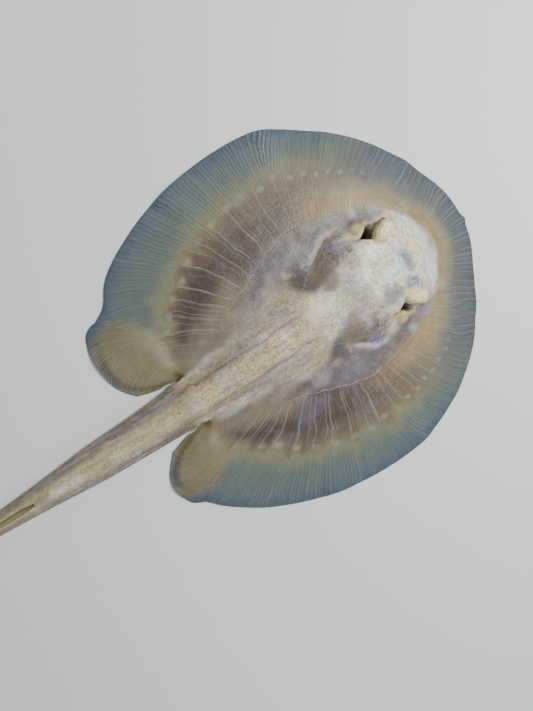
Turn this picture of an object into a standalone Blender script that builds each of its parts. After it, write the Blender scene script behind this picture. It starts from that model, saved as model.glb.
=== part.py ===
"""Freshwater stingray lying on the floor, life size, as a still model.

Metres, +Z up. The snout points along -Y, the tail along +Y, and the animal's left side is +X.
The origin is on the flat of the belly, under the middle of the trunk.

Plan positions are worked out in shares of the disc's width: s runs back from the tip of the snout,
t runs out to the animal's left. Each half of the disc is a grid: u goes round the rim from the
snout (0) to the inner corner of the pelvic fin (1), v goes out from the midline (0) to the rim (1).
Every part of the body is one block of that grid, closed by side walls, with a thin gap to the next.
"""

import math

import bmesh
import bpy
from mathutils import Matrix, Vector

# Driving dimensions, in metres
DISC_WIDTH = 0.36
GAP = 0.0003

# Plan of the disc, in disc widths
ORIGIN_S = 0.62
WIDEST_S = 0.52
HALF_WIDTH = 0.5
FRONT_LENGTH = 0.512
REAR_LENGTH = 0.67
FRONT_POWER = 1.83
SNOUT_NUB = 0.008
SNOUT_NUB_WIDTH = 0.012
NOTCH_ANGLE = math.radians(147.5)
PELVIC_OUTER = ((1.117, 0.247), (1.133, 0.195), (1.124, 0.132), (1.090, 0.086))
PELVIC_INNER = (1.030, 0.068)
AXIL = (0.968, 0.064)
MIDLINE_FRONT_S = 0.30
MIDLINE_REAR_S = 0.955
MIDLINE_POWER = 1.6
# How far the rim is drawn in: the depth, then the grid columns where it starts, is full, eases and ends
LEFT_DENT = (0.042, 0.06, 0.16, 0.36, 0.50)
RIGHT_DENT = (0.040, 0.03, 0.12, 0.16, 0.27)
LEFT_REAR_DENT, LEFT_REAR_COLUMN, LEFT_REAR_WIDTH = 0.040, 0.83, 0.025

# Shares of the grid at which the parts meet, and half of the gap there
BODY_SHARE = 0.40
NOTCH_SHARE = 0.855
SNOUT_SHARE = 0.14
HEAD_SHARE = 0.56
COLUMN_INSET = 0.0006
ROW_INSET = 0.0020
JOIN_EASE = 0.80

# Heights over the floor, in disc widths
RIM_THICKNESS = 0.004
FIN_ROOT_HEIGHT = 0.050
FIN_ROOT_LOSS = 0.020
UNDERSIDE_RISE = 0.004
FLAT_RIM_SHARE = 0.88
RIM_WAVE = 0.006
HEAD_RISE = 0.048
TRUNK_RISE = 0.038
SPINE_RISE = 0.008
PAD_RISE = 0.011
PAD_CENTRE, PAD_RADII = (1.062, 0.130), (0.098, 0.116)

# Tail: (s, half width, height of the back), in disc widths
TAIL_STATIONS = (
    (0.955, 0.060, 0.072),
    (1.00, 0.0555, 0.066),
    (1.10, 0.050, 0.060),
    (1.25, 0.044, 0.051),
    (1.38, 0.032, 0.040),
    (1.52, 0.022, 0.029),
    (1.70, 0.012, 0.019),
    (1.93, 0.0035, 0.008),
)
TAIL_DRIFT = -0.027
TAIL_CURVE = 0.035
TAIL_MIDDLE_S = 1.34
TAIL_TIP_S = 1.64
TAIL_FOLD_HEIGHT = 0.007
TAIL_EDGE_ANGLE = math.radians(62)
TAIL_SIDE_SHARE = 0.42
TAIL_UNDER_SHARE = 0.20

# Head
EYE_S, EYE_T, EYE_Z = 0.315, 0.100, 0.079
EYE_RADIUS = 0.0165
EYE_OFFSET = 0.0205
EYE_AXIS = (0.805, -0.561, 0.171)
MOUND_RADII = (0.0250, 0.0430, 0.0245)
MOUND_TURN = math.radians(20)
SPIRACLE_S, SPIRACLE_T, SPIRACLE_Z = 0.362, 0.1165, 0.072
SPIRACLE_RADII = (0.0115, 0.0260, 0.0360)
SPIRACLE_TURN = math.radians(10)
SPIRACLE_LEAN = math.radians(16)
MOUTH_S, MOUTH_HALF_WIDTH, MOUTH_BOW = 0.285, 0.048, 0.010
NOSTRIL_S, NOSTRIL_T, NOSTRIL_WIDTH = 0.250, 0.047, 0.009
GILL_PAIRS = 5
GILL_FIRST, GILL_LAST = (0.385, 0.150), (0.515, 0.118)
GILL_LENGTH, GILL_SHRINK, GILL_WIDTH = 0.024, 0.006, 0.0045
MOUTH_WIDTH = 0.008
VENT_S, VENT_WIDTH = 0.925, 0.016
SLIT_DEPTH = 0.006

# Sting
STING_S, STING_LENGTH = 1.415, 0.185
STING_WIDTH, STING_THICKNESS = 0.0130, 0.0050
STING_SECTION = ((-1.0, 0.0), (-0.45, 0.75), (0.0, 1.0), (0.45, 0.75), (1.0, 0.0), (0.0, -0.35))
STING_LIFT = 0.0034

# Columns and rows of the faceted grid
SNOUT_COLUMNS, HEAD_COLUMNS, TRUNK_COLUMNS, PELVIC_COLUMNS = 4, 13, 8, 6
BODY_ROWS, FIN_ROWS = 8, 10
TAIL_BASE_ROWS, TAIL_MIDDLE_ROWS, TAIL_TIP_ROWS = 10, 8, 8
SIDES = ((1, "left"), (-1, "right"))


def ease(low, high, x):
    """0 below low, 1 above high, smooth between."""
    k = min(1.0, max(0.0, (x - low) / (high - low)))
    return k * k * (3 - 2 * k)


def bell(x, width):
    return math.exp(-((x / width) ** 2))


def steps(low, high, count):
    return [low + (high - low) * k / count for k in range(count + 1)]


def spline(points, k):
    """Point at share k (0 to 1) of a smooth curve through the points."""
    spans = len(points) - 1
    i = min(spans - 1, int(k * spans))
    f = k * spans - i
    before, a, b, after = (points[max(0, min(spans, j))] for j in (i - 1, i, i + 1, i + 2))
    return tuple(
        0.5 * (2 * q + (r - p) * f + (2 * p - 5 * q + 4 * r - w) * f * f + (3 * q - p - 3 * r + w) * f**3)
        for p, q, r, w in zip(before, a, b, after)
    )


def sign_power(x, power):
    return math.copysign(abs(x) ** power, x)


# Plan of one half of the disc


def rim_point(angle):
    """The pectoral rim: 0 at the snout, a right angle at the widest place."""
    forward = math.cos(angle)
    power = 2 / FRONT_POWER if forward > 0 else 1.0
    length = FRONT_LENGTH if forward > 0 else REAR_LENGTH
    t = HALF_WIDTH * sign_power(math.sin(angle), power)
    s = WIDEST_S - length * sign_power(forward, power)
    return s - SNOUT_NUB * bell(t, SNOUT_NUB_WIDTH), t


def outline(u):
    """Pectoral rim as far as the notch, then round the pelvic fin to its inner corner."""
    if u <= NOTCH_SHARE:
        return rim_point(NOTCH_ANGLE * u / NOTCH_SHARE)
    points = (rim_point(NOTCH_ANGLE), *PELVIC_OUTER)
    return spline(points, (u - NOTCH_SHARE) / (1 - NOTCH_SHARE))


def midline(u):
    return MIDLINE_FRONT_S + (MIDLINE_REAR_S - MIDLINE_FRONT_S) * u**MIDLINE_POWER, 0.0


def inner_edge(v):
    """The grid's last column: across the root of the tail, then along the pelvic fin's inner edge."""
    if v <= BODY_SHARE:
        across = math.sin(TAIL_EDGE_ANGLE * v / BODY_SHARE) / math.sin(TAIL_EDGE_ANGLE)
        return MIDLINE_REAR_S + (AXIL[0] - MIDLINE_REAR_S) * across**2, AXIL[1] * across
    return spline((AXIL, PELVIC_INNER, PELVIC_OUTER[-1]), (v - BODY_SHARE) / (1 - BODY_SHARE))


def drift(s, t=0.0):
    """The trunk and the tail lie a little off the straight; the rim doesn't."""
    off = TAIL_DRIFT * ease(0.35, 1.15, s) + TAIL_CURVE * ease(1.5, 2.3, s)
    return off * (1 - ease(0.10, 0.24, abs(t)))


def plan(u, v):
    """(s, t) of a grid point: straight lines from midline to rim, eased into the last column."""
    inner, outer, last = midline(u), outline(u), inner_edge(v)
    end_inner, end_outer = midline(1), outline(1)
    share = ease(JOIN_EASE, 1.0, u) ** 2
    return tuple(
        (1 - v) * inner[i] + v * outer[i] + share * (last[i] - (1 - v) * end_inner[i] - v * end_outer[i])
        for i in (0, 1)
    )


def dent(u, side):
    """Share by which the rim is drawn in at a grid column, a little differently on each side."""
    depth, start, full, easing, end = LEFT_DENT if side > 0 else RIGHT_DENT
    front = depth * ease(start, full, u) * (1 - ease(easing, end, u))
    return front + (LEFT_REAR_DENT * bell(u - LEFT_REAR_COLUMN, LEFT_REAR_WIDTH) if side > 0 else 0)


# Heights


def wave(u):
    """Gentle lift of the rim, clamped so that it lies flat between the waves."""
    ripple = 0.6 * math.sin(41 * u + 0.6) + 0.4 * math.sin(67 * u + 2.0)
    return RIM_WAVE * max(0.0, ripple) * ease(0.05, 0.2, u)


def rim_share(u, v):
    """1 on the thick of a fin, 0 on its free edges."""
    inward = (1 - min(1.0, v) ** 1.6) ** 1.2
    free_inner = (1 - ease(0.0, 0.07, 1 - u)) * ease(BODY_SHARE, BODY_SHARE + 0.12, v)
    return inward * (1 - free_inner)


def head_rise(s, a):
    """The skull between the eyes, widening into the gill chambers and narrowing behind them."""
    half = 0.122 + 0.036 * ease(0.32, 0.42, s) - 0.048 * ease(0.44, 0.56, s)
    along = ease(0.16, 0.33, s) * (1 - 0.45 * ease(0.47, 0.60, s))
    return HEAD_RISE * along * (1 - ease(0.58, 1.06, a / half)) * (1 - ease(0.56, 0.70, s))


def trunk_rise(s, a):
    """The back muscles, narrowing towards the tail, with a low ridge over the spine."""
    half = 0.135 - 0.080 * ease(0.55, 0.95, s)
    back = TRUNK_RISE * ease(0.50, 0.66, s) * (1 - ease(0.35, 1.05, a / half))
    return back + SPINE_RISE * ease(0.50, 0.66, s) * bell(a, 0.045)


def pad_rise(s, a):
    """The plump base of the pelvic fin."""
    radius = math.hypot((s - PAD_CENTRE[0]) / PAD_RADII[0], (a - PAD_CENTRE[1]) / PAD_RADII[1])
    return PAD_RISE * (1 - ease(0.50, 1.10, radius))


def top_height(u, v, s, t):
    root = FIN_ROOT_HEIGHT - FIN_ROOT_LOSS * ease(0.75, 1.0, s)
    share = rim_share(u, v)
    fin = RIM_THICKNESS + (root - RIM_THICKNESS) * share
    body = head_rise(s, abs(t)) + trunk_rise(s, abs(t)) + pad_rise(s, abs(t))
    return fin + body * ease(0.0, 0.10, share) + wave(u) * ease(0.72, 1.0, v)


def under_height(u, v):
    reach = min(1.0, max(0.0, (v - BODY_SHARE) / (FLAT_RIM_SHARE - BODY_SHARE)))
    return UNDERSIDE_RISE * math.sin(math.pi * reach) ** 2 + wave(u) * ease(0.72, 1.0, v)


def place(s, t, z):
    return Vector((t * DISC_WIDTH, (s - ORIGIN_S) * DISC_WIDTH, z * DISC_WIDTH))


def disc_pair(u, v, side):
    """Upper and lower point of the disc at a grid place. side is 1 for left, -1 for right."""
    s, t = plan(u, v * (1 - dent(u, side)))
    across = side * t + drift(s, t)
    return place(s, across, top_height(u, v, s, t)), place(s, across, under_height(u, v))


# Tail


def tail_size(s):
    """Half width and height of the tail between its stations."""
    for (s0, w0, h0), (s1, w1, h1) in zip(TAIL_STATIONS, TAIL_STATIONS[1:]):
        if s <= s1:
            k = (s - s0) / (s1 - s0)
            return w0 + (w1 - w0) * k, h0 + (h1 - h0) * k
    return TAIL_STATIONS[-1][1:]


def tail_pair(s, across):
    """Upper and lower point of the tail; across runs from -1 (right edge) to 1 (left edge)."""
    half, height = tail_size(s)
    angle = across * TAIL_EDGE_ANGLE
    bulge = (math.cos(angle) - math.cos(TAIL_EDGE_ANGLE)) / (1 - math.cos(TAIL_EDGE_ANGLE))
    top = height * (TAIL_SIDE_SHARE + (1 - TAIL_SIDE_SHARE) * bulge)
    fold = TAIL_FOLD_HEIGHT * ease(1.62, 1.70, s) * (1 - ease(1.80, 1.92, s)) * bell(across, 0.3)
    under = height * TAIL_UNDER_SHARE * ease(0.35, 1.0, abs(across))
    root = 1 - ease(MIDLINE_REAR_S, MIDLINE_REAR_S + 0.09, s)
    root_s, root_t = inner_edge(abs(across) * BODY_SHARE)
    root_top = top_height(1.0, abs(across) * BODY_SHARE, root_s, root_t)
    reach = half * math.sin(angle) / math.sin(TAIL_EDGE_ANGLE)
    along = s + (root_s - MIDLINE_REAR_S) * root
    top += (root_top - top) * root
    return place(along, drift(s) + reach, top + fold), place(along, drift(s) + reach, under * (1 - root))


# Building closed blocks


def new_material(name, colour, roughness):
    material = bpy.data.materials.new(name)
    material.use_nodes = True
    shader = material.node_tree.nodes["Principled BSDF"]
    shader.inputs["Base Color"].default_value = (*colour, 1)
    shader.inputs["Roughness"].default_value = roughness
    shader.inputs["Metallic"].default_value = 0.0
    return material


def finish_mesh(bm, name):
    bmesh.ops.recalc_face_normals(bm, faces=bm.faces[:])
    mesh = bpy.data.meshes.new(name)
    bm.to_mesh(mesh)
    bm.free()
    mesh.shade_smooth()
    mesh.set_sharp_from_angle(angle=math.radians(40))
    return mesh


def add_object(name, mesh, material=None):
    """A part of the model, or, without a material, a cutter or filler that only shapes one."""
    obj = bpy.data.objects.new(name, mesh)
    bpy.context.scene.collection.objects.link(obj)
    if material is None:
        obj.hide_render = True
        obj.display_type = "WIRE"
    else:
        mesh.materials.append(material)
    return obj


def block(name, patches, material):
    """A closed solid from tables of (upper, lower) points: two sheets with walls round their border."""
    bm = bmesh.new()
    known = {}

    def corner(pair):
        key = tuple(round(c, 7) for c in pair[0])
        if key not in known:
            known[key] = tuple(bm.verts.new(p) for p in pair)
        return known[key]

    for patch in patches:
        table = [[corner(pair) for pair in row] for row in patch]
        for row, following in zip(table, table[1:]):
            for j in range(len(row) - 1):
                corners = (row[j], following[j], following[j + 1], row[j + 1])
                bm.faces.new([c[0] for c in corners])
                bm.faces.new([c[1] for c in reversed(corners)])
    under = dict(known.values())
    for edge in [e for e in bm.edges if e.is_boundary and e.verts[0] in under]:
        a, b = edge.verts
        bm.faces.new((a, b, under[b], under[a]))
    bmesh.ops.triangulate(bm, faces=bm.faces[:])
    return add_object(name, finish_mesh(bm, name), material)


def column_values():
    """u values of the four zones of columns, inset where two parts meet."""
    zones = (0.0, SNOUT_SHARE, HEAD_SHARE, NOTCH_SHARE, 1.0)
    counts = (SNOUT_COLUMNS, HEAD_COLUMNS, TRUNK_COLUMNS, PELVIC_COLUMNS)
    return [steps(low, high, count) for low, high, count in zip(zones, zones[1:], counts)]


def inset(values, low=0.0, high=0.0):
    return [values[0] + low, *values[1:-1], values[-1] - high]


def disc_patch(u_values, v_values, side):
    return [[disc_pair(u, v, side) for v in v_values] for u in u_values]


def tail_patch(s_values):
    acrosses = steps(-1.0, 1.0, 2 * BODY_ROWS)
    return [[tail_pair(s, across) for across in acrosses] for s in s_values]


def add_ellipsoid(bm, centre, radii, turn=None, segments=16, rings=10):
    """A turned ellipsoid. centre is (s, t, z), radii run along t, s and z, in disc widths."""
    shape = Matrix.Diagonal((*radii, 1))
    if turn is not None:
        shape = turn.to_4x4() @ shape
    matrix = Matrix.Translation(place(*centre)) @ shape
    bmesh.ops.create_uvsphere(bm, u_segments=segments, v_segments=rings, radius=DISC_WIDTH, matrix=matrix)


def boolean(target, bm, operation):
    """Join or cut with all that is in bm, whose shapes don't meet each other."""
    name = f"{target.name}_{operation.lower()}"
    modifier = target.modifiers.new(name, "BOOLEAN")
    modifier.operation = operation
    modifier.solver = "EXACT"
    modifier.object = add_object(name, finish_mesh(bm, name))


def add_slit(bm, points, width):
    """A narrow upright blade through (s, t) points, from under the floor to the slit's depth."""
    rings = []
    for (s, t), k in zip(points, steps(-1, 1, len(points) - 1)):
        wide = width * (1 - 0.75 * k * k) / 2
        corners = ((-wide, -SLIT_DEPTH), (wide, -SLIT_DEPTH), (wide, SLIT_DEPTH), (-wide, SLIT_DEPTH))
        rings.append([bm.verts.new(place(s + aside, t, z)) for aside, z in corners])
    join_rings(bm, rings)


def join_rings(bm, rings):
    for a, b in zip(rings, rings[1:]):
        for i in range(len(a)):
            j = (i + 1) % len(a)
            bm.faces.new((a[i], a[j], b[j], b[i]))
    bm.faces.new(rings[0])
    bm.faces.new(rings[-1][::-1])


# Parts


def mouth_points():
    return [(MOUTH_S + MOUTH_BOW * k * k, MOUTH_HALF_WIDTH * k) for k in steps(-1, 1, 8)]


def nostril_points(side):
    return [(NOSTRIL_S + 0.006 * k, side * (NOSTRIL_T + 0.010 * k)) for k in steps(-1, 1, 2)]


def gill_points(pair, side):
    """A short slit with an arc of its own; the pairs converge backwards."""
    k = pair / (GILL_PAIRS - 1)
    s = GILL_FIRST[0] + (GILL_LAST[0] - GILL_FIRST[0]) * k
    t = GILL_FIRST[1] + (GILL_LAST[1] - GILL_FIRST[1]) * k
    half = (GILL_LENGTH - GILL_SHRINK * k) / 2
    return [(s + 0.004 * m * m + 0.002 * m, side * (t + half * m)) for m in steps(-1, 1, 4)]


def eye_socket(side):
    return EYE_S, side * EYE_T + drift(EYE_S, EYE_T), EYE_Z


def eye_centre(side):
    """The eyeball sits towards the outer front of its mound."""
    s, t, z = eye_socket(side)
    out, back, up = (EYE_OFFSET * c for c in EYE_AXIS)
    return s + back, t + side * out, z + up


def carve_head(head):
    """Eye mounds and sockets, spiracles, and the nostrils, mouth and gill slits underneath."""
    mounds, cuts = bmesh.new(), bmesh.new()
    for side, _ in SIDES:
        add_ellipsoid(mounds, eye_socket(side), MOUND_RADII, Matrix.Rotation(MOUND_TURN * side, 3, "Z"))
        pit_lean = Matrix.Rotation(SPIRACLE_LEAN * side, 3, "Y")
        pit_turn = Matrix.Rotation(SPIRACLE_TURN * side, 3, "Z") @ pit_lean
        pit_centre = (SPIRACLE_S, side * SPIRACLE_T + drift(SPIRACLE_S, SPIRACLE_T), SPIRACLE_Z)
        add_ellipsoid(cuts, pit_centre, SPIRACLE_RADII, pit_turn)
        add_ellipsoid(cuts, eye_centre(side), [EYE_RADIUS + GAP / DISC_WIDTH] * 3, None, 20, 12)
        add_slit(cuts, nostril_points(side), NOSTRIL_WIDTH)
        for pair in range(GILL_PAIRS):
            add_slit(cuts, gill_points(pair, side), GILL_WIDTH)
    add_slit(cuts, mouth_points(), MOUTH_WIDTH)
    boolean(head, mounds, "UNION")
    boolean(head, cuts, "DIFFERENCE")


def carve_trunk(trunk):
    """The vent, a short oval slit under the root of the tail."""
    vent = bmesh.new()
    add_slit(vent, [(VENT_S, drift(VENT_S) + 0.010 * k) for k in steps(-1, 1, 4)], VENT_WIDTH)
    boolean(trunk, vent, "DIFFERENCE")


def build_sting(material):
    """A flat tapered spine with a low keel, lying along the tail just clear of its skin."""
    bm = bmesh.new()
    rings = []
    for k in steps(0.0, 1.0, 10):
        s = STING_S + STING_LENGTH * k
        taper = (1 - k**1.7) * (0.55 + 0.45 * ease(0.0, 0.12, k)) + 0.06
        base = tail_size(s)[1] + STING_LIFT
        section = [(STING_WIDTH / 2 * taper * x, base + STING_THICKNESS * taper * z) for x, z in STING_SECTION]
        rings.append([bm.verts.new(place(s, drift(s) + aside, z)) for aside, z in section])
    join_rings(bm, rings)
    add_object("sting", finish_mesh(bm, "sting"), material)


def build():
    for obj in list(bpy.data.objects):
        bpy.data.objects.remove(obj)
    skin = new_material("skin", (0.55, 0.49, 0.42), 0.45)
    fin_skin = new_material("fin_skin", (0.40, 0.42, 0.40), 0.45)
    eye = new_material("eye", (0.10, 0.07, 0.04), 0.12)
    spine = new_material("spine", (0.62, 0.55, 0.38), 0.50)

    snout_u, head_u, trunk_u, pelvic_u = column_values()
    body_v = inset(steps(0.0, BODY_SHARE, BODY_ROWS), high=ROW_INSET)
    out = [math.sin(math.pi / 2 * k) for k in steps(0.0, 1.0, FIN_ROWS)]
    fin_v = inset([BODY_SHARE + (1 - BODY_SHARE) * k for k in out], low=ROW_INSET)

    head_columns = inset(snout_u[:-1] + head_u, high=COLUMN_INSET)
    head = block("head", [disc_patch(head_columns, body_v, side) for side, _ in SIDES], skin)
    carve_head(head)
    trunk_columns = inset(trunk_u[:-1] + pelvic_u, low=COLUMN_INSET, high=COLUMN_INSET)
    trunk = block("trunk", [disc_patch(trunk_columns, body_v, side) for side, _ in SIDES], skin)
    carve_trunk(trunk)
    snout_columns = inset(snout_u, high=COLUMN_INSET)
    block("snout", [disc_patch(snout_columns, fin_v, side) for side, _ in SIDES], fin_skin)
    pectoral_columns = inset(head_u[:-1] + trunk_u, low=COLUMN_INSET, high=COLUMN_INSET)
    pelvic_columns = inset(pelvic_u, low=COLUMN_INSET)
    for side, label in SIDES:
        block("pectoral_fin_" + label, [disc_patch(pectoral_columns, fin_v, side)], fin_skin)
        block("pelvic_fin_" + label, [disc_patch(pelvic_columns, fin_v, side)], skin)
        eyeball = bmesh.new()
        add_ellipsoid(eyeball, eye_centre(side), [EYE_RADIUS] * 3, None, 20, 12)
        add_object("eye_" + label, finish_mesh(eyeball, "eye_" + label), eye)

    ends = (MIDLINE_REAR_S, TAIL_MIDDLE_S, TAIL_TIP_S, TAIL_STATIONS[-1][0])
    counts = (TAIL_BASE_ROWS, TAIL_MIDDLE_ROWS, TAIL_TIP_ROWS)
    gap = GAP / DISC_WIDTH
    for name, low, high, count in zip(("tail_base", "tail_middle", "tail_tip"), ends, ends[1:], counts):
        block(name, [tail_patch(inset(steps(low, high, count), low=gap))], skin)
    build_sting(spine)


build()
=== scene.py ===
# Freshwater stingray, life size: the finish of the skin, eyes, sting and denticles, on a pale floor.
# Plan places, heights and pattern sizes are in disc widths of 0.36 m, so 0.01 is 3.6 mm. s runs back from the
# tip of the snout, t runs out to the animal's left. Only the denticles and the lights are sized in metres.

import math
from functools import partial

import bmesh
import bpy
import numpy as np
from mathutils import Matrix, Vector
from mathutils.kdtree import KDTree


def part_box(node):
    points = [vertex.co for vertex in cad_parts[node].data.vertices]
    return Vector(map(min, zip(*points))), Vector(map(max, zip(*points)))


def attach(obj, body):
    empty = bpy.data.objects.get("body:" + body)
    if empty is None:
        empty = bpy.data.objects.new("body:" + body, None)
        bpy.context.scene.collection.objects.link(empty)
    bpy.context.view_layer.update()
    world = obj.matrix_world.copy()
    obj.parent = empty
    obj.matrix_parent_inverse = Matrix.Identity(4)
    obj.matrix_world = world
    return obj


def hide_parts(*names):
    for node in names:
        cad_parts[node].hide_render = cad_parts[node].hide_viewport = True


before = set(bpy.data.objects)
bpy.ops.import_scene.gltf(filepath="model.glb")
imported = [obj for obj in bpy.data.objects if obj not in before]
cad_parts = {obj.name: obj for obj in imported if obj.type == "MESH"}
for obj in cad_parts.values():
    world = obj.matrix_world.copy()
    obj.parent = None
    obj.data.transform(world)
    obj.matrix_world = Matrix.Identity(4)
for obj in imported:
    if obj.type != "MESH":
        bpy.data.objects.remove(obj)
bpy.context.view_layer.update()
print("frame loaded:", len(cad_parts), "nodes")

# shared scale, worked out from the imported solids
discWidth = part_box("pectoral_fin_left")[1].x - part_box("pectoral_fin_right")[0].x
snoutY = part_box("snout")[0].y  # world y of the snout's tip, where s is 0
tailEnd = (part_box("tail_tip")[1].y - snoutY) / discWidth

disc = dict(
    widestS=0.52, halfWidth=0.5, frontLength=0.512, rearLength=0.67, frontPower=1.83,
    nub=0.008, nubWidth=0.012, notchAngle=math.radians(147.5),
    pelvicOuter=((1.117, 0.247), (1.133, 0.195), (1.124, 0.132), (1.090, 0.086)),
    pelvicInner=(1.030, 0.068), axil=(0.968, 0.064),
    midFront=0.30, midRear=0.955, midPower=1.6,
    bodyShare=0.40, notchShare=0.855, joinEase=0.80,
    leftDent=(0.042, 0.06, 0.16, 0.36, 0.50), rightDent=(0.040, 0.03, 0.12, 0.16, 0.27),
    rearDent=(0.040, 0.83, 0.025),
    columns=166, bodyRows=26, finRows=36, wallRows=3, finCrowding=1.25,  # the skin's grid
)

heights = dict(
    rim=0.0034, finRoot=0.050, finRootLoss=0.020, underRise=0.004, flatRim=0.88, wave=0.006,
    edgeBulge=0.42, edgeBulgeMost=0.010, arch=0.0011, archPitch=0.020,
    head=0.048, trunk=0.038, spine=0.008, pad=0.011, padCentre=(1.062, 0.130), padRadii=(0.098, 0.116),
)

head = dict(
    eyeS=0.315, eyeT=0.100, eyeZ=0.079, mound=(0.0400, 0.0245, 0.0245),  # mound radii: along, across, up
    moundTurn=math.radians(20), moundWrap=math.radians(98),
    eyeRadius=0.0165, eyePlace=(0.0165, -0.0115, 0.0035), gaze=(0.90, -0.40, 0.20),  # both: out, back, up
    opening=1.0, pit=((0.310, 0.137), (0.354, 0.097), (0.386, 0.114)), pitDepth=0.034,
    hood=(0.361, 0.137), hoodRadius=0.030, hoodRise=0.0110, rimRise=0.0045, lipRise=0.0030,
    overhang=0.0060, blend=0.0024, innerBlend=0.0065,  # skull over the spiracle; bulbs into the skull
    lidGap=1.10, lidSkin=1.05, lidRoll=0.085, lidBack=0.78, lidSpan=0.16,  # shares of the eye's radius; angle
)


def softStep(low, high, x):
    k = np.clip((x - low) / (high - low), 0.0, 1.0)
    return k * k * (3 - 2 * k)


def fall(low, high, x):  # 1 up to low, 0 from high
    return 1 - softStep(low, high, x)


def bump(x, width):
    return np.exp(-((x / width) ** 2))


def between(low, lowEnd, highStart, high, x):  # rises from low to lowEnd, falls from highStart to high
    return softStep(low, lowEnd, x) * fall(highStart, high, x)


def spot(s, t, s0, t0, radiusS, radiusT, inner=0.4):  # 1 inside an oval, easing to 0 at its border
    return fall(inner, 1.0, np.hypot((s - s0) / radiusS, (t - t0) / radiusT))


def signPower(x, power):
    return np.sign(x) * np.abs(x) ** power


def mottle(s, t, size, seed):  # smooth random patches of about this size, 0 to 1
    x, y = s / size + 50, t / size + 50
    i, j = np.floor(x), np.floor(y)
    fx, fy = (k * k * (3 - 2 * k) for k in (x - i, y - j))

    def corner(di, dj):
        return np.modf(np.abs(np.sin((i + di) * 12.71 + (j + dj) * 31.17 + seed * 7.47) * 4375.85))[0]

    low = corner(0, 0) * (1 - fx) + corner(1, 0) * fx
    high = corner(0, 1) * (1 - fx) + corner(1, 1) * fx
    return low * (1 - fy) + high * fy


def curveThrough(points, k):  # smooth curve through the points at shares k, one row per share
    points = np.array(points, float)
    spans = len(points) - 1
    i = np.clip((k * spans).astype(int), 0, spans - 1)
    f = (k * spans - i)[:, None]
    p0, p1, p2, p3 = (points[np.clip(i + step, 0, spans)] for step in (-1, 0, 1, 2))
    cubic = 3 * p1 - p0 - 3 * p2 + p3
    return 0.5 * (2 * p1 + (p2 - p0) * f + (2 * p0 - 5 * p1 + 4 * p2 - p3) * f**2 + cubic * f**3)


# plan of the disc: u goes round the rim, v goes out from the midline
def rimPoint(angle):
    forward = np.cos(angle)
    power = np.where(forward > 0, 2 / disc["frontPower"], 1.0)
    length = np.where(forward > 0, disc["frontLength"], disc["rearLength"])
    t = disc["halfWidth"] * signPower(np.sin(angle), power)
    s = disc["widestS"] - length * signPower(forward, power)
    return np.stack([s - disc["nub"] * bump(t, disc["nubWidth"]), t], -1)


def outline(u):
    notch = disc["notchShare"]
    rim = rimPoint(disc["notchAngle"] * np.minimum(u, notch) / notch)
    ends = (rimPoint(np.array([disc["notchAngle"]]))[0], *disc["pelvicOuter"])
    lobe = curveThrough(ends, np.clip((u - notch) / (1 - notch), 0, 1))
    return np.where((u > notch)[:, None], lobe, rim)


def midline(u):
    s = disc["midFront"] + (disc["midRear"] - disc["midFront"]) * u ** disc["midPower"]
    return np.stack([s, 0 * s], -1)


edgeAngle = math.radians(62)  # how far round the tail's section its upper side goes


def innerEdge(v):  # across the root of the tail, then along the pelvic fin's inner edge
    body = disc["bodyShare"]
    axilS, axilT = disc["axil"]
    across = np.sin(edgeAngle * np.minimum(v, body) / body) / math.sin(edgeAngle)
    root = np.stack([disc["midRear"] + (axilS - disc["midRear"]) * across**2, axilT * across], -1)
    corners = (disc["axil"], disc["pelvicInner"], disc["pelvicOuter"][-1])
    fin = curveThrough(corners, np.clip((v - body) / (1 - body), 0, 1))
    return np.where((v > body)[:, None], fin, root)


def discPlan(u, v):
    inner, outer, last = midline(u), outline(u), innerEdge(v)
    endInner, endOuter = midline(np.ones(1)), outline(np.ones(1))
    share = (softStep(disc["joinEase"], 1.0, u) ** 2)[:, None]
    v = v[:, None]
    return (1 - v) * inner + v * outer + share * (last - (1 - v) * endInner - v * endOuter)


def dent(u, side):  # share by which the rim is drawn in, a little differently on each side
    depth, start, full, easing, end = disc["leftDent" if side > 0 else "rightDent"]
    front = depth * between(start, full, easing, end, u)
    rearDepth, column, width = disc["rearDent"]
    return front + (rearDepth * bump(u - column, width) if side > 0 else 0)


def flowAlong(u, v):  # a coordinate round the disc whose even steps lie along the fin rays
    flow = u
    for _ in range(12):
        flow = u - 0.19 * (v - 0.33) * softStep(0.55, 0.80, flow)
    return flow + 0.13 * (v - 0.5) * between(0.10, 0.20, 0.42, 0.56, flow)


def drift(s, t):  # the trunk and tail lie a little to the animal's right; the rim doesn't
    lean = -0.027 * softStep(0.35, 1.15, s) + 0.035 * softStep(1.5, 2.3, s)
    return lean * fall(0.10, 0.24, np.abs(t))


def worldPlace(s, t, z):
    return np.stack([t * discWidth, s * discWidth + snoutY, z * discWidth], -1)


# heights of the skin
def rimWave(u, v):
    ripple = 0.6 * np.sin(41 * u + 0.6) + 0.4 * np.sin(67 * u + 2.0)
    return heights["wave"] * np.maximum(0, ripple) * softStep(0.05, 0.2, u) * softStep(0.72, 1.0, v)


def rimShare(u, v):
    inward = (1 - np.clip(v, 0, 1) ** 1.6) ** 1.2
    body = disc["bodyShare"]
    freeInner = fall(0.0, 0.07, 1 - u) * softStep(body, body + 0.12, v)
    return inward * (1 - freeInner)


def headRise(s, a):
    half = 0.122 + 0.036 * softStep(0.32, 0.42, s) - 0.048 * softStep(0.44, 0.56, s)
    along = softStep(0.16, 0.33, s) * (1 - 0.45 * softStep(0.47, 0.60, s))
    return heights["head"] * along * fall(0.58, 1.06, a / half) * fall(0.56, 0.70, s)


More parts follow.
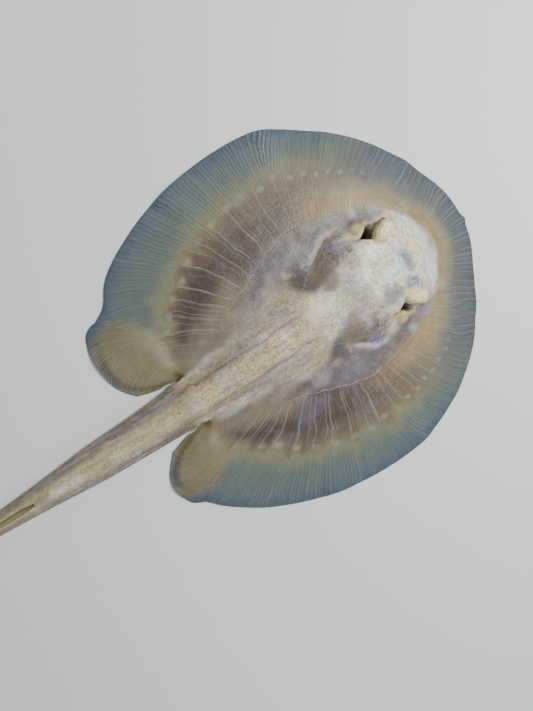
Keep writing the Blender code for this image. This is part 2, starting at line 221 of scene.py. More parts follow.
def trunkRise(s, a):
    half = 0.135 - 0.080 * softStep(0.55, 0.95, s)
    back = heights["trunk"] * softStep(0.50, 0.66, s) * fall(0.35, 1.05, a / half)
    return back + heights["spine"] * softStep(0.50, 0.66, s) * bump(a, 0.045)


def padRadius(s, a):
    centre, radii = heights["padCentre"], heights["padRadii"]
    return np.hypot((s - centre[0]) / radii[0], (a - centre[1]) / radii[1])


def gillCrease(s, a):  # distance from the fold outside each gill chamber, and the fold's strength
    line = 0.156 - 0.040 * softStep(0.455, 0.545, s)
    return a - line, between(0.405, 0.44, 0.505, 0.545, s)


def shoulderArm(s, a):  # distance from the pale ridge that runs out from the shoulder girdle
    bend = 0.545 + 0.065 * fall(0.070, 0.115, a) + 0.012 * softStep(0.12, 0.17, a)
    return s - bend


def bandHalf(s):  # half width of the muscle band along the back
    return 0.113 - 0.030 * softStep(0.66, 0.80, s) - 0.022 * softStep(0.80, 0.98, s)


swellings = (  # height, s, t, radius along, radius across, flat share, also on the other side
    (-0.0085, 0.295, 0.006, 0.042, 0.052, 0.30, False),  # hollow of the skull
    (-0.0075, 0.316, -0.056, 0.030, 0.026, 0.20, False), (-0.0045, 0.316, 0.052, 0.028, 0.022, 0.20, False),
    (0.0045, 0.448, 0.052, 0.044, 0.044, 0.00, True),  # rear of the skull
    (0.0052, 0.455, 0.122, 0.070, 0.040, 0.10, True),  # gill chamber
    (0.0075, 0.512, 0.078, 0.062, 0.050, 0.05, True),  # shoulder
    (-0.0060, 0.588, 0.118, 0.036, 0.034, 0.15, True), (-0.0035, 0.398, 0.117, 0.026, 0.010, 0.10, True),
)


def foldRelief(s, t):  # hollows, ridges and creases of the back that are too small for the solids
    a = np.abs(t)
    z = 0 * s
    for height, s0, t0, along, across, flat, both in swellings:
        z += height * spot(s, a if both else t, s0, t0, along, across, flat)
    ring = np.hypot((s - 0.362) / 0.046, (t - 0.003) / 0.030)
    z += 0.0028 * bump(ring - 1, 0.24) - 0.0014 * fall(0.5, 1.0, ring)
    z += 0.0026 * between(0.36, 0.38, 0.43, 0.47, s) * bump(a - 0.100, 0.013)
    crease, creased = gillCrease(s, a)
    z -= 0.0052 * creased * bump(crease, 0.0085)
    z += 0.0020 * bump(shoulderArm(s, a), 0.0100) * between(0.030, 0.055, 0.140, 0.175, a)
    inBand = a / bandHalf(s)
    z += 0.0022 * between(0.595, 0.635, 0.72, 0.80, s) * fall(0.75, 1.10, inBand)
    z -= 0.0020 * bump(inBand - 1.10, 0.07) * between(0.61, 0.66, 0.90, 0.97, s)
    z -= 0.0012 * bump(a - 0.038, 0.0075) * between(0.62, 0.66, 0.93, 0.99, s)
    z += 0.0015 * bump(a - 0.065, 0.014) * between(0.62, 0.68, 0.90, 0.97, s)
    z += 0.0014 * bump(a, 0.011) * softStep(0.60, 0.72, s)
    flankLine = a - 0.124 + 0.045 * softStep(0.86, 0.97, s)
    z += 0.0018 * bump(flankLine, 0.0090) * between(0.79, 0.83, 0.93, 0.97, s)
    lumps = mottle(s, t, 0.045, 5) + 0.6 * mottle(s, t, 0.022, 6) - 0.8
    return z + 0.0022 * lumps * fall(0.24, 0.32, a)


def pitDistances(s, a):  # how far inside each side of the spiracle's opening a place lies
    corners = [np.array(corner) for corner in head["pit"]]
    middle = sum(corners) / 3
    found = []
    for p, q in zip(corners, corners[1:] + corners[:1]):
        normal = np.array([-(q - p)[1], (q - p)[0]]) / np.linalg.norm(q - p)
        normal *= np.sign((middle - p) @ normal)
        found.append((s - p[0]) * normal[0] + (a - p[1]) * normal[1])
    return found


def spiracleDepth(s, a):
    front, skull, outer = pitDistances(s, a)
    return softStep(-0.002, 0.005, front) * softStep(-0.0008, 0.0022, skull) * softStep(-0.002, 0.011, outer)


def spiracleRim(s, a):  # the fleshy rim along the outer side
    front, skull, outer = pitDistances(s, a)
    ends = softStep(-0.012, 0.002, front) * softStep(-0.014, 0.000, skull) * softStep(0.300, 0.335, s)
    return bump(outer + 0.0085, 0.0080) * ends


def spiracleHood(s, a):  # the swelling behind and outside the opening
    return spot(s, a, *head["hood"], head["hoodRadius"], head["hoodRadius"] * 0.85, 0.30)


def evenRow(a, v):  # v without the little bend that the snout's tip gives it
    frontReach = disc["midFront"] - disc["widestS"] + disc["frontLength"]
    return v * (1 + disc["nub"] / frontReach * bump(a, disc["nubWidth"] * v + 1e-6))


def topHeight(s, t, u, v):
    a = np.abs(t)
    share = rimShare(u, v)
    root = heights["finRoot"] - heights["finRootLoss"] * softStep(0.75, 1.0, s)
    fin = heights["rim"] + (root - heights["rim"]) * share
    pad = heights["pad"] * fall(0.50, 1.10, padRadius(s, a))
    body = (headRise(s, a) + trunkRise(s, a) + pad) * softStep(0.0, 0.10, share)
    z = fin + body + rimWave(u, v) + foldRelief(s, t) * softStep(0.02, 0.20, share)
    row = evenRow(a, v)
    arches = between(0.50, 0.53, 0.58, 0.61, row) * fall(0.22, 0.32, u)
    z += heights["arch"] * arches * np.cos(2 * math.pi * (row - 0.580) / heights["archPitch"])
    skullLip = bump(pitDistances(s, a)[1] + 0.004, 0.005) * fall(0.02, 0.035, np.abs(s - 0.370))
    z += head["hoodRise"] * spiracleHood(s, a)
    z += head["rimRise"] * spiracleRim(s, a) + head["lipRise"] * skullLip
    return z - head["pitDepth"] * spiracleDepth(s, a)


mouth = dict(s=0.285, half=0.048, bow=0.010, noseS=0.250, noseT=0.047, pairs=5,
             firstGill=(0.385, 0.150), lastGill=(0.515, 0.118), ventS=0.925,
             depth=0.0120, lip=0.0020, noseDepth=0.0080, curtain=0.0022, gillDepth=0.0070, ventDepth=0.0090)


def mouthDistance(s, t):
    return s - (mouth["s"] + mouth["bow"] * (t / mouth["half"]) ** 2)


def gillMask(s, t):
    found = np.zeros_like(s)
    for pair in range(mouth["pairs"]):
        k = pair / (mouth["pairs"] - 1)
        gs, gt = (p + (q - p) * k for p, q in zip(mouth["firstGill"], mouth["lastGill"]))
        m = (np.abs(t) - gt) / (0.012 - 0.003 * k)
        arc = s - gs - 0.004 * m**2 - 0.002 * m
        found = np.maximum(found, bump(arc, 0.0021) * fall(0.7, 1.15, np.abs(m)))
    return found


def underHeight(s, t, u, v):
    body = disc["bodyShare"]
    reach = np.clip((v - body) / (heights["flatRim"] - body), 0, 1)
    z = heights["underRise"] * np.sin(math.pi * reach) ** 2 + rimWave(u, v)
    a = np.abs(t)
    d = mouthDistance(s, t)
    wide = fall(0.80, 1.08, a / mouth["half"])
    z += mouth["depth"] * bump(d, 0.0026) * wide
    z += mouth["lip"] * wide * (bump(d - 0.0100, 0.0030) + bump(d + 0.0085, 0.0022))
    nose = np.hypot((s - mouth["noseS"] - 0.4 * (a - mouth["noseT"])) / 0.0065, (a - mouth["noseT"]) / 0.0115)
    z += mouth["noseDepth"] * fall(0.35, 1.0, nose)
    curtain = between(0.244, 0.250, 0.276, 0.282, s)
    z += mouth["curtain"] * bump(a - 0.040 + 0.25 * (s - 0.25), 0.0022) * curtain
    z += mouth["gillDepth"] * gillMask(s, t)
    z += mouth["ventDepth"] * fall(0.3, 1.0, np.hypot((s - mouth["ventS"]) / 0.016, t / 0.009))
    z += 0.0020 * bump(np.hypot((s - mouth["ventS"]) / 0.024, t / 0.016) - 1, 0.16)
    return z


# the tail: its stations are s, half width and height; side and under are shares of the height
tail = dict(
    stations=((0.955, 0.060, 0.072), (1.00, 0.0555, 0.066), (1.10, 0.050, 0.060), (1.25, 0.044, 0.051),
              (1.38, 0.032, 0.040), (1.52, 0.022, 0.029), (1.70, 0.012, 0.019), (1.93, 0.0035, 0.008)),
    rows=120, side=0.42, under=0.20,
    fold=0.007, sheath=0.0022, stingBed=0.0016, ridge=0.0010, groove=0.0007,  # fine relief of its upper side
)


def tailSize(s):  # half width and height, with the stations' corners smoothed away
    marks, halves, tops = np.array(tail["stations"]).T
    spread = (-0.03, -0.015, 0.0, 0.015, 0.03)
    half = np.mean([np.interp(s + step, marks, halves) for step in spread], 0)
    height = np.mean([np.interp(s + step, marks, tops) for step in spread], 0)
    end = softStep(0.0, 0.02, tailEnd - s + 0.004)  # rounded tip
    return half * (0.35 + 0.65 * end), height * (0.6 + 0.4 * end)


def tailSheets(s, across):  # places on the upper and the lower side of the tail
    half, height = tailSize(s)
    angle = across * edgeAngle
    bulge = (np.cos(angle) - math.cos(edgeAngle)) / (1 - math.cos(edgeAngle))
    top = height * (tail["side"] + (1 - tail["side"]) * bulge)
    away = np.abs(across)
    top += tail["fold"] * between(1.62, 1.70, 1.80, 1.92, s) * bump(across, 0.22)
    top += tail["sheath"] * between(1.34, 1.40, 1.43, 1.52, s) * bump(across, 0.45)  # round the sting
    top -= tail["stingBed"] * between(1.42, 1.45, 1.60, 1.66, s) * bump(across, 0.34)
    top += tail["ridge"] * bump(across, 0.12) * fall(1.30, 1.40, s)
    top -= tail["groove"] * bump(away - 0.45, 0.10) * fall(1.5, 1.7, s)
    under = height * tail["under"] * softStep(0.35, 1.0, away)
    root = fall(disc["midRear"], disc["midRear"] + 0.09, s)
    v = away * disc["bodyShare"]
    rootS, rootT = innerEdge(v).T
    rootT = rootT * np.sign(across)
    ones = np.ones_like(s)
    top = top + (topHeight(rootS, rootT, ones, v) - top) * root
    under = under * (1 - root)
    reach = half * np.sin(angle) / math.sin(edgeAngle)
    reach = reach + (rootT - reach) * fall(disc["midRear"], disc["midRear"] + 0.035, s)
    along = s + (rootS - disc["midRear"]) * root
    return along, reach, top, under


# the skin's grid
def makeGrid():
    columns, bodyRows, finRows = disc["columns"], disc["bodyRows"], disc["finRows"]
    rows = bodyRows + finRows
    body = disc["bodyShare"]
    uLine = np.linspace(0, 1, columns + 1)
    fin = 1 - (1 - body) * (1 - np.linspace(0, 1, finRows + 1)) ** disc["finCrowding"]
    vLine = np.concatenate([np.linspace(0, body, bodyRows + 1), fin[1:]])
    u, v = (g.ravel() for g in np.meshgrid(uLine, vLine, indexing="ij"))
    leftS, leftT = discPlan(u, v * (1 - dent(u, 1))).T
    rightS, rightT = discPlan(u, v * (1 - dent(u, -1))).T
    number = np.arange(len(u)).reshape(columns + 1, rows + 1)
    fields = []  # one row per vertex: s, t, u, v, under
    faces = []
    borders = []
    tailRows = tail["rows"]
    acrossLine = np.linspace(-1, 1, 2 * bodyRows + 1)
    k = np.linspace(0, 1, tailRows + 1)[1:]
    tailS = disc["midRear"] + (tailEnd - disc["midRear"]) * (0.75 * k + 0.25 * k**1.6)
    for under in (0, 1):
        start = sum(len(f) for f in fields)
        left = number + start
        fields.append(np.stack([leftS, leftT, u, v, 0 * u + under], -1))
        right = left.copy()
        fresh = np.ones_like(number, bool)
        fresh[0, :] = False  # the column ahead of the midline's front end and the midline are shared
        fresh[:, 0] = False
        right[fresh] = start + len(u) + np.arange(fresh.sum())
        pick = fresh.ravel()
        fields.append(np.stack([rightS, -rightT, u, v, 0 * u + under], -1)[pick])
        rootRow = np.concatenate([right[-1, bodyRows:0:-1], left[-1, : bodyRows + 1]])
        first = start + len(u) + fresh.sum()
        tailNumber = first + np.arange(tailRows * len(acrossLine)).reshape(tailRows, -1)
        ts, across = (g.ravel() for g in np.meshgrid(tailS, acrossLine, indexing="ij"))
        past = 1 + ts - disc["midRear"]
        fields.append(np.stack([ts, across, past, np.abs(across) * body, 0 * ts + under], -1))
        tailNumber = np.concatenate([rootRow[None], tailNumber])
        for sheet, flip in ((left, False), (right, True), (tailNumber, False)):
            corners = (sheet[:-1, :-1], sheet[1:, :-1], sheet[1:, 1:], sheet[:-1, 1:])
            quads = np.stack(corners, -1).reshape(-1, 4)
            faces.append(quads[:, ::-1] if flip == (under == 0) else quads)
        edge = [left[:, -1], left[-1, rows - 1 : bodyRows - 1 : -1], tailNumber[1:, -1]]
        edge += [tailNumber[-1, -2::-1], tailNumber[-2:0:-1, 0]]
        edge += [right[-1, bodyRows : rows + 1], right[-2:0:-1, -1]]
        borders.append(np.concatenate(edge))
    return np.concatenate(fields), np.concatenate(faces), borders


def addWalls(fields, faces, borders):  # rows of points between the upper and the lower border
    top, under = borders
    rings = [top]
    for k in range(1, disc["wallRows"] + 1):
        share = k / (disc["wallRows"] + 1)
        rings.append(len(fields) + np.arange(len(top)))
        ring = fields[top].copy()
        ring[:, 4] = share
        fields = np.concatenate([fields, ring])
    rings.append(under)
    for a, b in zip(rings, rings[1:]):
        quads = np.stack([a, np.roll(a, -1), np.roll(b, -1), b], -1)
        faces = np.concatenate([faces, quads])
    return fields, faces, rings


fieldNames = ("placeS", "placeT", "placeU", "placeV", "under")


def refine(mesh, regions):  # more points where the eyes, spiracles, mouth and gills need them
    bm = bmesh.new()
    bm.from_mesh(mesh)
    layers = [bm.verts.layers.float[name] for name in fieldNames]
    for s0, t0, radiusS, radiusT, under, rounds in regions:
        for _ in range(rounds):
            chosen = set()
            for vertex in bm.verts:
                s, t, u, _, side = (vertex[layer] for layer in layers)
                near = math.hypot((s - s0) / radiusS, (t - t0) / radiusT) < 1
                if u <= 1 and side == under and near:
                    chosen.add(vertex)
            edges = [e for e in bm.edges if e.verts[0] in chosen and e.verts[1] in chosen]
            bmesh.ops.subdivide_edges(bm, edges=edges, cuts=1, use_grid_fill=True)
    bm.to_mesh(mesh)
    bm.free()


def readFields(mesh):
    found = []
    for name in fieldNames:
        values = np.empty(len(mesh.vertices), np.float32)
        mesh.attributes[name].data.foreach_get("value", values)
        found.append(values.astype(float))
    return found


def moundPlace(s, t, side):  # place on an eye mound: along its length, across it, and share of its radius
    turn = head["moundTurn"]
    ds, dt = s - head["eyeS"], side * t - head["eyeT"]
    long = -ds * math.cos(turn) + dt * math.sin(turn)
    short = ds * math.sin(turn) + dt * math.cos(turn)
    return long, short, np.hypot(long / head["mound"][0], short / head["mound"][1])


def intoMound(out, back, up):  # a direction given as out, back and up, in the mound's own axes
    sine, cosine = math.sin(head["moundTurn"]), math.cos(head["moundTurn"])
    return np.array((out * sine - back * cosine, out * cosine + back * sine, up))


def eyeBulb(long, short, radius):  # the bulb's skin in its own axes, and the angle from the eye's opening
    axis = intoMound(*head["gaze"])
    axis /= np.linalg.norm(axis)
    ball = head["eyeRadius"]
    centre = intoMound(*head["eyePlace"])
    angle = np.minimum(radius, 1) * head["moundWrap"]
    around = np.stack([long / head["mound"][0], short / head["mound"][1]], -1)
    around /= np.maximum(radius, 1e-6)[:, None]
    sine = np.sin(angle)
    shell = np.stack([sine * around[:, 0], sine * around[:, 1], np.cos(angle)], -1) * head["mound"]
    reach = np.linalg.norm(shell, axis=1)
    ray = shell / reach[:, None]
    facing = ray @ centre
    lidReach = facing + np.sqrt(np.maximum(0, facing**2 - centre @ centre + (head["lidGap"] * ball) ** 2))
    reach = 0.5 * (reach + lidReach + np.hypot(reach - lidReach, 0.0022))
    outerSide = softStep(-0.2, 0.7, around[:, 1])
    ridge = bump(angle - 0.62, 0.16) * outerSide  # a second fold over the outer side
    reach += 0.0011 * ridge - 0.0009 * bump(angle - 0.30, 0.12) * outerSide
    away = ray * reach[:, None] - centre
    far = np.linalg.norm(away, axis=1)
    upward = np.array((0, 0, 1)) - axis * axis[2]
    tall = (away @ upward / np.linalg.norm(upward)) / far
    turned = np.arccos(np.clip(away @ axis / far, -1, 1))
    upShare = tall / np.maximum(np.sin(turned), 1e-6)
    turned = turned * (1 + 0.22 * upShare**2)  # the opening is longer than tall
    opening = head["opening"]
    roll = head["lidRoll"] * bump(turned - opening - 0.11, 0.10)
    lid = np.maximum(head["lidSkin"] + roll, far / ball)
    share = softStep(opening - head["lidSpan"], opening, turned)
    target = (head["lidBack"] + (lid - head["lidBack"]) * share) * ball
    away *= (target / far)[:, None]
    return away + centre, turned


def raiseMounds(s, t, z):  # the eye bulbs, blended into the skull on the inner side
    turn = head["moundTurn"]
    for side in (1, -1):
        long, short, radius = moundPlace(s, t, side)
        near = np.flatnonzero(radius < 1.6)
        bulb, _ = eyeBulb(long[near], short[near], radius[near])
        inside = radius[near] < 1
        dome = head["eyeZ"] + bulb[:, 2] - 0.25 * np.maximum(0, radius[near] - 1)
        soft = head["blend"] + head["innerBlend"] * softStep(0.3, -0.7, short[near] / head["mound"][1])
        higher = np.maximum(z[near], dome) + 0.4 * soft * np.exp(-np.abs(z[near] - dome) / soft)
        z[near] = higher
        back = -bulb[:, 0] * math.cos(turn) + bulb[:, 1] * math.sin(turn)
        out = bulb[:, 0] * math.sin(turn) + bulb[:, 1] * math.cos(turn)
        s[near] = np.where(inside, head["eyeS"] + back, s[near])
        t[near] = np.where(inside, side * (head["eyeT"] + out), t[near])
    return s, t, z


def skinPlaces(fields, rings):
    s, t, u, v, under = fields
    onTail = u > 1
    discT = np.where(onTail, 0, t)
    discU = np.minimum(u, 1)
    z = np.where(under > 0.5, underHeight(s, discT, discU, v), topHeight(s, discT, discU, v))
    above = ~onTail & (under == 0)
    shiftS, shiftT, raised = raiseMounds(s[above], discT[above], z[above])  # indexing gives copies
    depth = spiracleDepth(s[above], np.abs(discT[above]))
    tuck = np.sign(discT[above]) * head["overhang"] * depth  # the skull's edge overhangs the spiracle
    planS, planT = s.copy(), discT.copy()
    planS[above], planT[above], z[above] = shiftS, shiftT - tuck, raised
    along, reach, top, low = tailSheets(s, np.clip(t, -1, 1))
    planS = np.where(onTail, along, planS)
    planT = np.where(onTail, reach, planT)
    z = np.where(onTail, np.where(under > 0.5, low, top), z)
    leanT = np.where(onTail, 0, discT)
    points = worldPlace(planS, planT + drift(np.where(onTail, s, planS), leanT), z)
    top, bottom = points[rings[0]], points[rings[-1]]
    ahead = np.roll(top, -1, 0) - np.roll(top, 1, 0)
    out = np.stack([ahead[:, 1], -ahead[:, 0]], -1)
    out /= np.maximum(np.linalg.norm(out, axis=1), 1e-9)[:, None]
    thick = top[:, 2] - bottom[:, 2]
    corner = np.hypot(s[rings[0]] - disc["axil"][0], np.abs(planT[rings[0]]) - disc["axil"][1])
    most = heights["edgeBulgeMost"] * discWidth
    bulge = np.minimum(heights["edgeBulge"] * thick, most) * softStep(0.0, 0.03, corner)
    for k, ring in enumerate(rings[1:-1], 1):
        share = k / (len(rings) - 1)
        points[ring] = top + (bottom - top) * share
        points[ring, :2] += out * (bulge * math.sin(math.pi * share))[:, None]
    return points, out


def giveField(mesh, name, *columns):
    attribute = mesh.attributes.new(name, "FLOAT_VECTOR", "POINT")
    attribute.data.foreach_set("vector", np.stack(columns, -1).astype(np.float32).ravel())


def hexColour(code):  # sRGB hex to the linear values that shaders take
    parts = [int(code[i : i + 2], 16) / 255 for i in (1, 3, 5)]
    linear = [c / 12.92 if c <= 0.04045 else ((c + 0.055) / 1.055) ** 2.4 for c in parts]
    return (*linear, 1.0)


# the crease tone and the darkest spiracle tone are painted shade; the bluish edge tones hold painted blue light
# showing through the thin edge
tones = dict(
    olive="#7b7a60", teal="#626c65", margin="#59666c", edge="#4b5864", frontOlive="#807a60",
    frontGrey="#5d6163", frontEdge="#4d5760", muscle="#574a43", muscleRear="#443834", muscleRim="#776a4e",
    violet="#675d72", tan="#98825b", shoulder="#645b5e", shoulderRear="#554c4a", blotch="#a39c94",
    skull="#ddd7c1", skullWarm="#eee3b4", skullRear="#84725f", fossa="#7c8187", window="#c4dcea",
    lavender="#8e8cae", crease="#5f4c3c", band="#ccb88a", bandSide="#b9a98d",
    white="#e4e7e4", vee="#c6bb9f", pelvic="#81775a", pelvicEdge="#66757a",
    mound="#f6e5ac", lidLine="#6e5238", orbitSide="#8f7c5c", pitRim="#c9b276", pitWall="#7d5246",
    pitShade="#1f0d09", flank="#7d705d", tail="#b9ab83", tailSide="#857b6b", tailDark="#6b6257",
    belly="#ded6cc", bellyPink="#d3b9ad", slit="#8c5f56",
)

blotches = (  # tone, s, t, radius along, radius across, strength, also on the other side
    ("white", 0.190, 0.030, 0.034, 0.050, 0.60, True), ("white", 0.212, 0.075, 0.034, 0.040, 0.70, True),
    ("lavender", 0.205, -0.045, 0.026, 0.030, 0.15, False),
    ("skullWarm", 0.225, 0.010, 0.034, 0.060, 0.60, False),
    ("lavender", 0.270, 0.160, 0.050, 0.022, 0.30, True),
    ("skullWarm", 0.270, 0.070, 0.030, 0.022, 0.50, True), ("fossa", 0.292, 0.004, 0.036, 0.044, 0.95, False),
    ("fossa", 0.310, -0.056, 0.034, 0.026, 1.00, False), ("window", 0.285, 0.036, 0.024, 0.014, 0.70, False),
    ("window", 0.292, -0.040, 0.034, 0.010, 0.70, False), ("window", 0.325, 0.012, 0.022, 0.034, 0.90, False),
    ("window", 0.362, 0.004, 0.034, 0.016, 0.95, False),
    ("skullWarm", 0.368, 0.030, 0.034, 0.011, 0.90, False),
    ("skullWarm", 0.350, -0.022, 0.036, 0.010, 0.80, False),
    # the fossa patch at 0.380, -0.064 is painted shade on the skull's right side
    ("fossa", 0.380, -0.064, 0.046, 0.030, 1.00, False),
    ("skullRear", 0.405, -0.070, 0.030, 0.026, 0.40, False),
    ("skullWarm", 0.414, 0.022, 0.026, 0.036, 0.90, False),
    # the white patch at 0.355, 0.074 is painted light on the skull's left side
    ("white", 0.355, 0.074, 0.042, 0.028, 1.00, False),
    ("skullRear", 0.455, -0.018, 0.036, 0.034, 0.75, False),
    ("skullRear", 0.450, 0.084, 0.040, 0.036, 1.00, True),
    ("window", 0.440, 0.032, 0.036, 0.010, 0.45, False), ("window", 0.470, -0.058, 0.034, 0.012, 0.45, False),
    ("pitRim", 0.425, 0.128, 0.030, 0.014, 0.20, True), ("skullRear", 0.460, 0.122, 0.048, 0.030, 0.65, True),
    # the crease patch at 0.425, 0.152 is painted shade along the left gill crease
    ("shoulder", 0.462, 0.112, 0.052, 0.040, 0.65, True), ("crease", 0.425, 0.152, 0.048, 0.018, 0.80, False),
    ("shoulderRear", 0.500, 0.188, 0.085, 0.040, 0.75, False),
    ("shoulderRear", 0.600, 0.160, 0.055, 0.040, 0.75, False),
    # the crease patch at 0.397, 0.117 is painted shadow along the base of the spiracle's hood
    ("crease", 0.397, 0.117, 0.024, 0.009, 1.00, True),
    ("lavender", 0.462, -0.150, 0.040, 0.026, 1.00, False),
    ("lavender", 0.450, 0.128, 0.036, 0.018, 0.60, False),
    ("lavender", 0.515, -0.092, 0.050, 0.022, 0.85, False),
    ("lavender", 0.545, -0.058, 0.030, 0.030, 0.65, False),
    ("skullRear", 0.525, 0.080, 0.050, 0.046, 0.85, True), ("window", 0.500, 0.030, 0.034, 0.008, 0.40, True),
    ("violet", 0.580, -0.200, 0.060, 0.034, 0.60, False), ("violet", 0.640, 0.170, 0.060, 0.030, 0.30, True),
    ("violet", 0.710, -0.215, 0.070, 0.040, 0.45, False), ("white", 0.345, 0.186, 0.022, 0.018, 0.26, True),
    ("blotch", 0.640, 0.142, 0.028, 0.022, 0.22, True), ("white", 0.660, -0.158, 0.034, 0.022, 0.15, False),
    ("blotch", 0.720, -0.160, 0.036, 0.016, 0.30, False), ("blotch", 0.760, 0.118, 0.050, 0.018, 0.25, True),
    ("blotch", 0.540, 0.180, 0.022, 0.020, 0.25, True), ("lavender", 0.690, 0.066, 0.050, 0.016, 0.30, True),
    ("white", 0.705, 0.010, 0.020, 0.014, 0.30, False), ("white", 0.760, 0.044, 0.026, 0.014, 0.50, False),
    ("lavender", 0.800, -0.058, 0.050, 0.018, 0.45, False),
    ("white", 0.858, -0.010, 0.022, 0.010, 0.55, False), ("white", 0.895, 0.000, 0.018, 0.010, 0.50, False),
    ("white", 0.900, -0.078, 0.060, 0.014, 0.28, False), ("white", 0.880, 0.068, 0.050, 0.012, 0.28, False),
)


def flatColour(tone, s):
    return np.array(hexColour(tones[tone])[:3]) * np.ones((len(s), 3))


def paintSkin(mesh, fields):  # the large patches of colour, and the fields that the fine pattern is drawn from
    s, t, u, v, under = fields
    onTail = u > 1
    a = np.abs(t)
    flow = flowAlong(u, v)
    warp = mottle(s, t, 0.050, 11) + 0.5 * mottle(s, t, 0.024, 12) - 0.75
    vw, aw, sw = v + 0.050 * warp, a + 0.014 * warp, s + 0.016 * warp
    streak = mottle(flow * 3.2, 0.15 * v, 0.030, 13) - 0.5  # runs out along the rays
    canal = 0.462 - 0.105 * softStep(0.50, 0.72, flow) - 0.05 * softStep(0.72, 0.82, flow)
    ring = 0.752 - 0.028 * softStep(0.33, 0.50, flow) - 0.135 * softStep(0.58, 0.79, flow)
    colour = flatColour("tan", s)

    def lay(tone, mask):
        nonlocal colour
        colour = colour + (np.array(hexColour(tones[tone])[:3]) - colour) * np.clip(mask, 0, 1)[:, None]

    # rings from the middle of the disc out to its edge
    rear = softStep(0.30, 0.50, flow)
    edge = vw + 0.05 * streak
    lay("frontOlive", softStep(0.56, 0.66, edge))
    # frontGrey, frontEdge, teal, margin and edge: the thin edge's grey with painted blue light showing through
    # it
    lay("frontGrey", softStep(0.64, 0.78, edge))
    lay("frontEdge", softStep(0.86, 1.0, edge))
    lay("muscleRim", rear * softStep(0.50, 0.62, edge))
    lay("olive", rear * softStep(ring - 0.03, ring + 0.05, edge))
    lay("teal", rear * softStep(ring + 0.04, ring + 0.14, edge))
    lay("margin", rear * softStep(0.86, 0.96, edge))
    lay("edge", rear * softStep(0.93, 1.0, edge))

    # the dark muscle of the fins, and the shoulder inside it
    inner = softStep(canal - 0.07, canal + 0.015, vw)
    outer = fall(ring - 0.10, ring + 0.03, vw + 0.09 * streak)
    muscle = softStep(0.34, 0.56, flow + 0.05 * warp) * fall(0.84, 0.92, flow) * outer
    lay("muscle", muscle * inner)
    lay("muscleRear", muscle * inner * softStep(0.50, 0.68, flow + 0.08 * warp) * 0.9)
    lay("muscleRim", muscle * softStep(0.56, 0.68, vw) * 0.45)
    lay("violet", muscle * inner * softStep(0.15, 0.5, warp + 0.3 * streak) * np.where(t < 0, 0.45, 0.12))
    core = fall(canal - 0.05, canal + 0.02, vw)
    core = np.maximum(core, fall(0.44, 0.52, vw) * fall(0.3, 0.5, flow))
    lay("shoulder", core)
    lay("shoulderRear", core * softStep(0.52, 0.68, sw) * 0.85)

    # skull, back and muscle bands
    skullHalf = 0.128 + 0.030 * softStep(0.32, 0.42, s) - 0.040 * softStep(0.46, 0.56, s)
    skull = between(0.165, 0.225, 0.46, 0.55, sw) * fall(0.88, 1.16, aw / skullHalf)
    lay("skull", skull)
    lay("skullRear", skull * softStep(0.41, 0.50, sw) * 0.75)
    # painted shade: the skull's right side is greyed with the fossa tone
    lay("fossa", skull * softStep(0.02, -0.12, t) * 0.25)
    veeHalf = 0.012 + 0.52 * np.clip(s - 0.475, 0, 1)
    vee = between(0.475, 0.50, 0.60, 0.625, s) * fall(0.75, 1.15, aw / veeHalf)
    lay("flank", softStep(0.76, 0.86, s + 0.2 * v) * fall(0.38, 0.52, vw) * 0.9)
    band = softStep(0.590, 0.635, sw) * fall(0.78, 1.22, aw / bandHalf(s))
    lay("bandSide", band)
    lay("band", band * 0.7 * bump(sw - 0.66, 0.05) * softStep(0.045, 0.065, aw))
    lay("band", band * fall(0.026, 0.044, aw))
    lay("white", between(0.62, 0.70, 0.93, 1.0, s) * bump(aw / bandHalf(s) - 1.0, 0.13) * 0.12)
    lay("vee", vee)
    # painted shade in the hollow behind the shoulder
    lay("crease", 0.35 * spot(s, a, 0.592, 0.116, 0.034, 0.030, 0.2))
    for tone, s0, t0, along, across, strength, both in blotches:
        for side in (1, -1) if both else (1,):
            lay(tone, strength * spot(sw, side * t + 0.012 * warp, s0, t0, along * 1.15, across * 1.15, 0.25))
    lay("blotch", np.clip(mottle(s, t, 0.020, 14) * 1.6 - 1.0, 0, 1) * core * 0.35)
    # painted shade along the crease outside each gill chamber
    crease, creased = gillCrease(s, a)
    lay("crease", 0.55 * creased * bump(crease, 0.0095))
    row = evenRow(a, v)
    arches = between(0.505, 0.53, 0.58, 0.60, row) * fall(0.20, 0.30, flow)
    lay("tan", arches * 0.6)

    # pelvic fins
    pad = fall(0.80, 1.16, padRadius(s, a) + 0.06 * warp)
    pad = np.maximum(pad, softStep(0.77, 0.85, flow) * softStep(0.36, 0.56, v) * fall(0.88, 0.98, v))
    lay("pelvic", pad * softStep(0.88, 0.99, s))
    # pelvicEdge: the thin edge's grey with painted blue light showing through it
    lay("pelvicEdge", softStep(0.79, 0.84, flow) * softStep(0.86, 0.99, vw) * 0.85)

    # eye bulbs with their lids, and the spiracles
    long, short, radius = moundPlace(s, a, 1)
    bulbSide = short / head["mound"][1]
    lay("mound", (0.95 - 0.20 * softStep(0.2, -0.9, bulbSide)) * fall(0.85, 1.25, radius + 0.12 * warp))
    # the olive-brown ring on the bulb's flanks, strongest outside, is its brown outline together with painted
    # shade on the sloping side
    orbitRing = between(0.45, 0.85, 1.0, 1.15, radius + 0.08 * warp)
    lay("orbitSide", 0.55 * orbitRing * (0.35 + 0.65 * softStep(-0.3, 0.6, bulbSide)))
    past = np.where(radius < 1, eyeBulb(long, short, radius)[1], 9) - head["opening"]
    lay("lidLine", 0.35 * bump(past - 0.30, 0.10) * softStep(-0.025, 0.005, long + 0.4 * short))
    lay("pitRim", 0.5 * bump(past - 0.46, 0.12))
